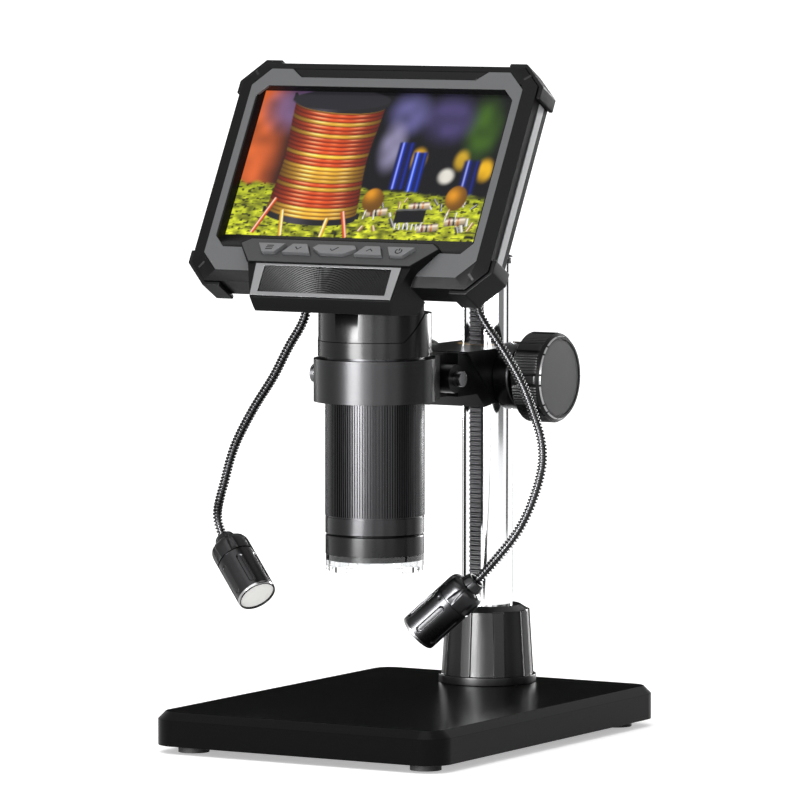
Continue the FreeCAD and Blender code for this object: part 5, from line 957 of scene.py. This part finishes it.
def makeVents(name, across, values):
    # each louvre slopes out and drops back, fading to flat at the field's ends
    low, high = boxIn(displayAxes, "rear_cover")
    x, y = np.meshgrid(np.linspace(-1, 1, values["columns"]), np.linspace(-1, 1, values["rows"]))
    x, y = x * values["wide"] / 2, y * values["high"] / 2
    rise = (y / values["pitch"]) % 1
    cover = coverOf(np.abs(x) + values["sideInset"] - values["wide"] / 2, values["sideFade"])
    cover *= coverOf(np.abs(y) + values["endInset"] - values["high"] / 2, values["endFade"])
    louvre = np.clip(rise * values["slope"], 0, 1) * coverOf(rise - values["dropAt"], values["dropFade"])
    depth = high[1] + (values["gap"] + values["proud"] * cover * louvre) * mm
    middle = (low + high) / 2
    front = placeIn(displayAxes, middle[0] + (across - x) * mm, depth, middle[2] + (values["up"] + y) * mm)
    addSlab(name, front, -displayAxes[1] * values["thick"] * mm, "display", "case_black", smooth=30)


for name, across in zip(("ventsLeft", "ventsRight"), vents["across"]):
    makeVents(name, across, vents)


# Slot marks on the display's corners: places in mm from the display's origin, each with its lean in degrees
slotMarks = {"origin": (0, -32.8, 225.6), "lookFrom": -50, "long": 3.2, "wide": 0.9, "proud": 0.03,
             "sunk": 0.25, "under": ("corner_bumpers", "display_case", "front_bezel"),
             "places": [(-60, 37.6, -45), (60.4, 37.4, 45), (-60.2, -45.6, 45), (59.2, -47, -45)]}


def makeSlotMarks(values):
    # each mark is a thin plate laid on the first face that a look along the depth meets
    trees = []
    for node in values["under"]:
        polygons = [tuple(face.vertices) for face in nodes[node].data.polygons]
        trees.append(BVHTree.FromPolygons(nodePoints(node).tolist(), polygons))
    points, faces = [], []
    corners = np.array([(-1, -1), (1, -1), (1, 1), (-1, 1)])
    for across, up, lean in values["places"]:
        start = (np.array(values["origin"]) + placeIn(displayAxes, across, values["lookFrom"], up)) * mm
        hits = [tree.ray_cast(Vector(start), Vector(displayAxes[1])) for tree in trees]
        spot, normal = min((hit for hit in hits if hit[0]), key=lambda hit: hit[3])[:2]
        normal = np.array(normal) * (1 if np.dot(normal, displayAxes[1]) < 0 else -1)
        turn = math.radians(lean)
        along = displayAxes[0] * math.cos(turn) + displayAxes[2] * math.sin(turn)
        along -= normal * (along @ normal)
        along /= np.linalg.norm(along)
        side = np.cross(normal, along)
        flat = corners[:, :1] * along * values["long"] + corners[:, 1:] * side * values["wide"]
        flat = np.array(spot) + flat * mm / 2
        faces += prismFaces(2, len(points) * 8)
        points.append(np.concatenate([flat + normal * values["proud"] * mm,
                                      flat - normal * values["sunk"] * mm]))
    addMesh("slotMarks", np.concatenate(points), faces, "display", "case_black", finish=["iconBlack"],
            smooth=0)


makeSlotMarks(slotMarks)


# Stage: pale floor, white world, soft lamps and dark cards; metres, and degrees round from the camera
stage = {
    "floor": 14.0, "ambient": 0.62, "lift": 0.42,
    "sun": {"strength": 1.35, "spread": 50, "angle": -35, "rise": 2.2},
    "stripHeight": 0.3, "stripTall": 0.8, "stripAim": 0.15,
    # name, angle, distance, width, strength
    "strips": [
        ("keyStrip", -39, 1.6, 0.7, 95), ("keyFade", -14, 1.6, 0.46, 14), ("keyTail", 10, 1.7, 0.6, 7),
        ("keyEnd", 36, 1.7, 0.6, 3.2), ("leftRim", -153, 1.5, 0.16, 26), ("rightRim", 143, 1.5, 0.34, 26),
    ],
    # name, angle, distance, foot, width, height, tone, centre
    "cards": [
        ("backCard", 180, 0.5, 0.0, 0.42, 0.5, 0.02, (0, 0)),
        ("greyCard", 64, 1.3, -0.1, 0.62, 1.6, 0.3, (0, 0)),
        ("edgeCard", 102, 0.8, -0.1, 0.16, 1.2, 0.02, (0, 0)),
        ("columnCard", -128, 0.2, 0.0, 0.085, 0.27, 0.02, (0, 0.0621)),
    ],
}


def seenRays(tree):
    # 1 for rays from the camera, off gloss or through glass, and 0 for the rest
    path = tree.nodes.new("ShaderNodeLightPath")
    seen = mathNode(tree, "MAXIMUM", path.outputs["Is Camera Ray"], path.outputs["Is Glossy Ray"])
    return mathNode(tree, "MAXIMUM", seen, path.outputs["Is Transmission Ray"])


def makeFloor(values):
    # a large pale square under the feet, lifted by a glow that only seen rays meet
    half = values["floor"]
    mesh = bpy.data.meshes.new("paleFloor")
    corners = [(-half, -half, 0), (half, -half, 0), (half, half, 0), (-half, half, 0)]
    mesh.from_pydata(corners, [], [(0, 1, 2, 3)])
    item = addObject("paleFloor", mesh)
    material, tree, shader = newShader("paleFloor", {
        "Base Color": (0.94, 0.94, 0.94, 1), "Roughness": 0.9, "Specular IOR Level": 0.05,
        "Emission Color": (1, 1, 1, 1)})
    lift = mathNode(tree, "MULTIPLY", seenRays(tree), values["lift"])
    tree.links.new(lift, shader.inputs["Emission Strength"])
    mesh.materials.append(material)


def makeWorld(values):
    # white to seen rays, and ambient as light on the object
    world = bpy.data.worlds.new("studio")
    bpy.context.scene.world = world
    world.use_nodes = True
    tree = world.node_tree
    background = tree.nodes["Background"]
    background.inputs["Color"].default_value = (1, 1, 1, 1)
    rest = mathNode(tree, "MULTIPLY_ADD", seenRays(tree), 1 - values["ambient"], values["ambient"])
    tree.links.new(rest, background.inputs["Strength"])


def placeBy(angle, distance, height):
    # angle in degrees to the camera's right of its own direction, seen from the object
    turn = math.radians(angle)
    way = cameraBack * math.cos(turn) + cameraRight * math.sin(turn)
    way[2] = 0
    way /= np.linalg.norm(way)
    return Vector(way * distance + (0, 0, height))


# The flat base would mirror the strips as white, so they don't light it
unlit = bpy.data.collections.new("keptFromStrips")
unlit.objects.link(nodes["base_plate"])
unlit.collection_objects[0].light_linking.link_state = "EXCLUDE"


def makeStrip(name, angle, distance, wide, strength, values):
    # a tall area lamp aimed at the object's middle, as bright as strength from any distance
    light = bpy.data.lights.new(name, "AREA")
    light.shape = "RECTANGLE"
    light.size, light.size_y = wide, values["stripTall"]
    light.energy = strength * math.pi * wide * values["stripTall"]
    item = addObject(name, light)
    item.location = placeBy(angle, distance, values["stripHeight"])
    aim = Vector((0, 0, values["stripAim"])) - item.location
    item.rotation_euler = aim.to_track_quat("-Z", "Y").to_euler()
    item.visible_diffuse = False
    item.visible_camera = False
    item.light_linking.receiver_collection = unlit


def makeCard(name, angle, distance, low, wide, tall, tone, centre):
    # an upright card round the centre that only reflections see
    foot = placeBy(angle, distance, low)
    across = Vector((-foot.y, foot.x, 0)).normalized() * wide / 2
    foot += Vector((*centre, 0))
    mesh = bpy.data.meshes.new(name)
    top = Vector((0, 0, tall))
    corners = [foot - across, foot + across, foot + across + top, foot - across + top]
    mesh.from_pydata(corners, [], [(0, 1, 2, 3)])
    item = addObject(name, mesh)
    mesh.materials.append(newShader(name, {
        "Base Color": (tone, tone, tone, 1), "Roughness": 1, "Specular IOR Level": 0})[0])
    item.visible_camera = False
    item.visible_diffuse = False
    item.visible_shadow = False
    item.visible_transmission = False


def makeSun(values):
    # broad even light from above and the camera's left
    light = bpy.data.lights.new("softSun", "SUN")
    light.energy = values["strength"]
    light.angle = math.radians(values["spread"])
    way = placeBy(values["angle"], 1, values["rise"])
    addObject("softSun", light).rotation_euler = (-way).to_track_quat("-Z", "Y").to_euler()


makeFloor(stage)
makeWorld(stage)
makeSun(stage["sun"])
for strip in stage["strips"]:
    makeStrip(*strip, stage)
for card in stage["cards"]:
    makeCard(*card)
print("stage set")
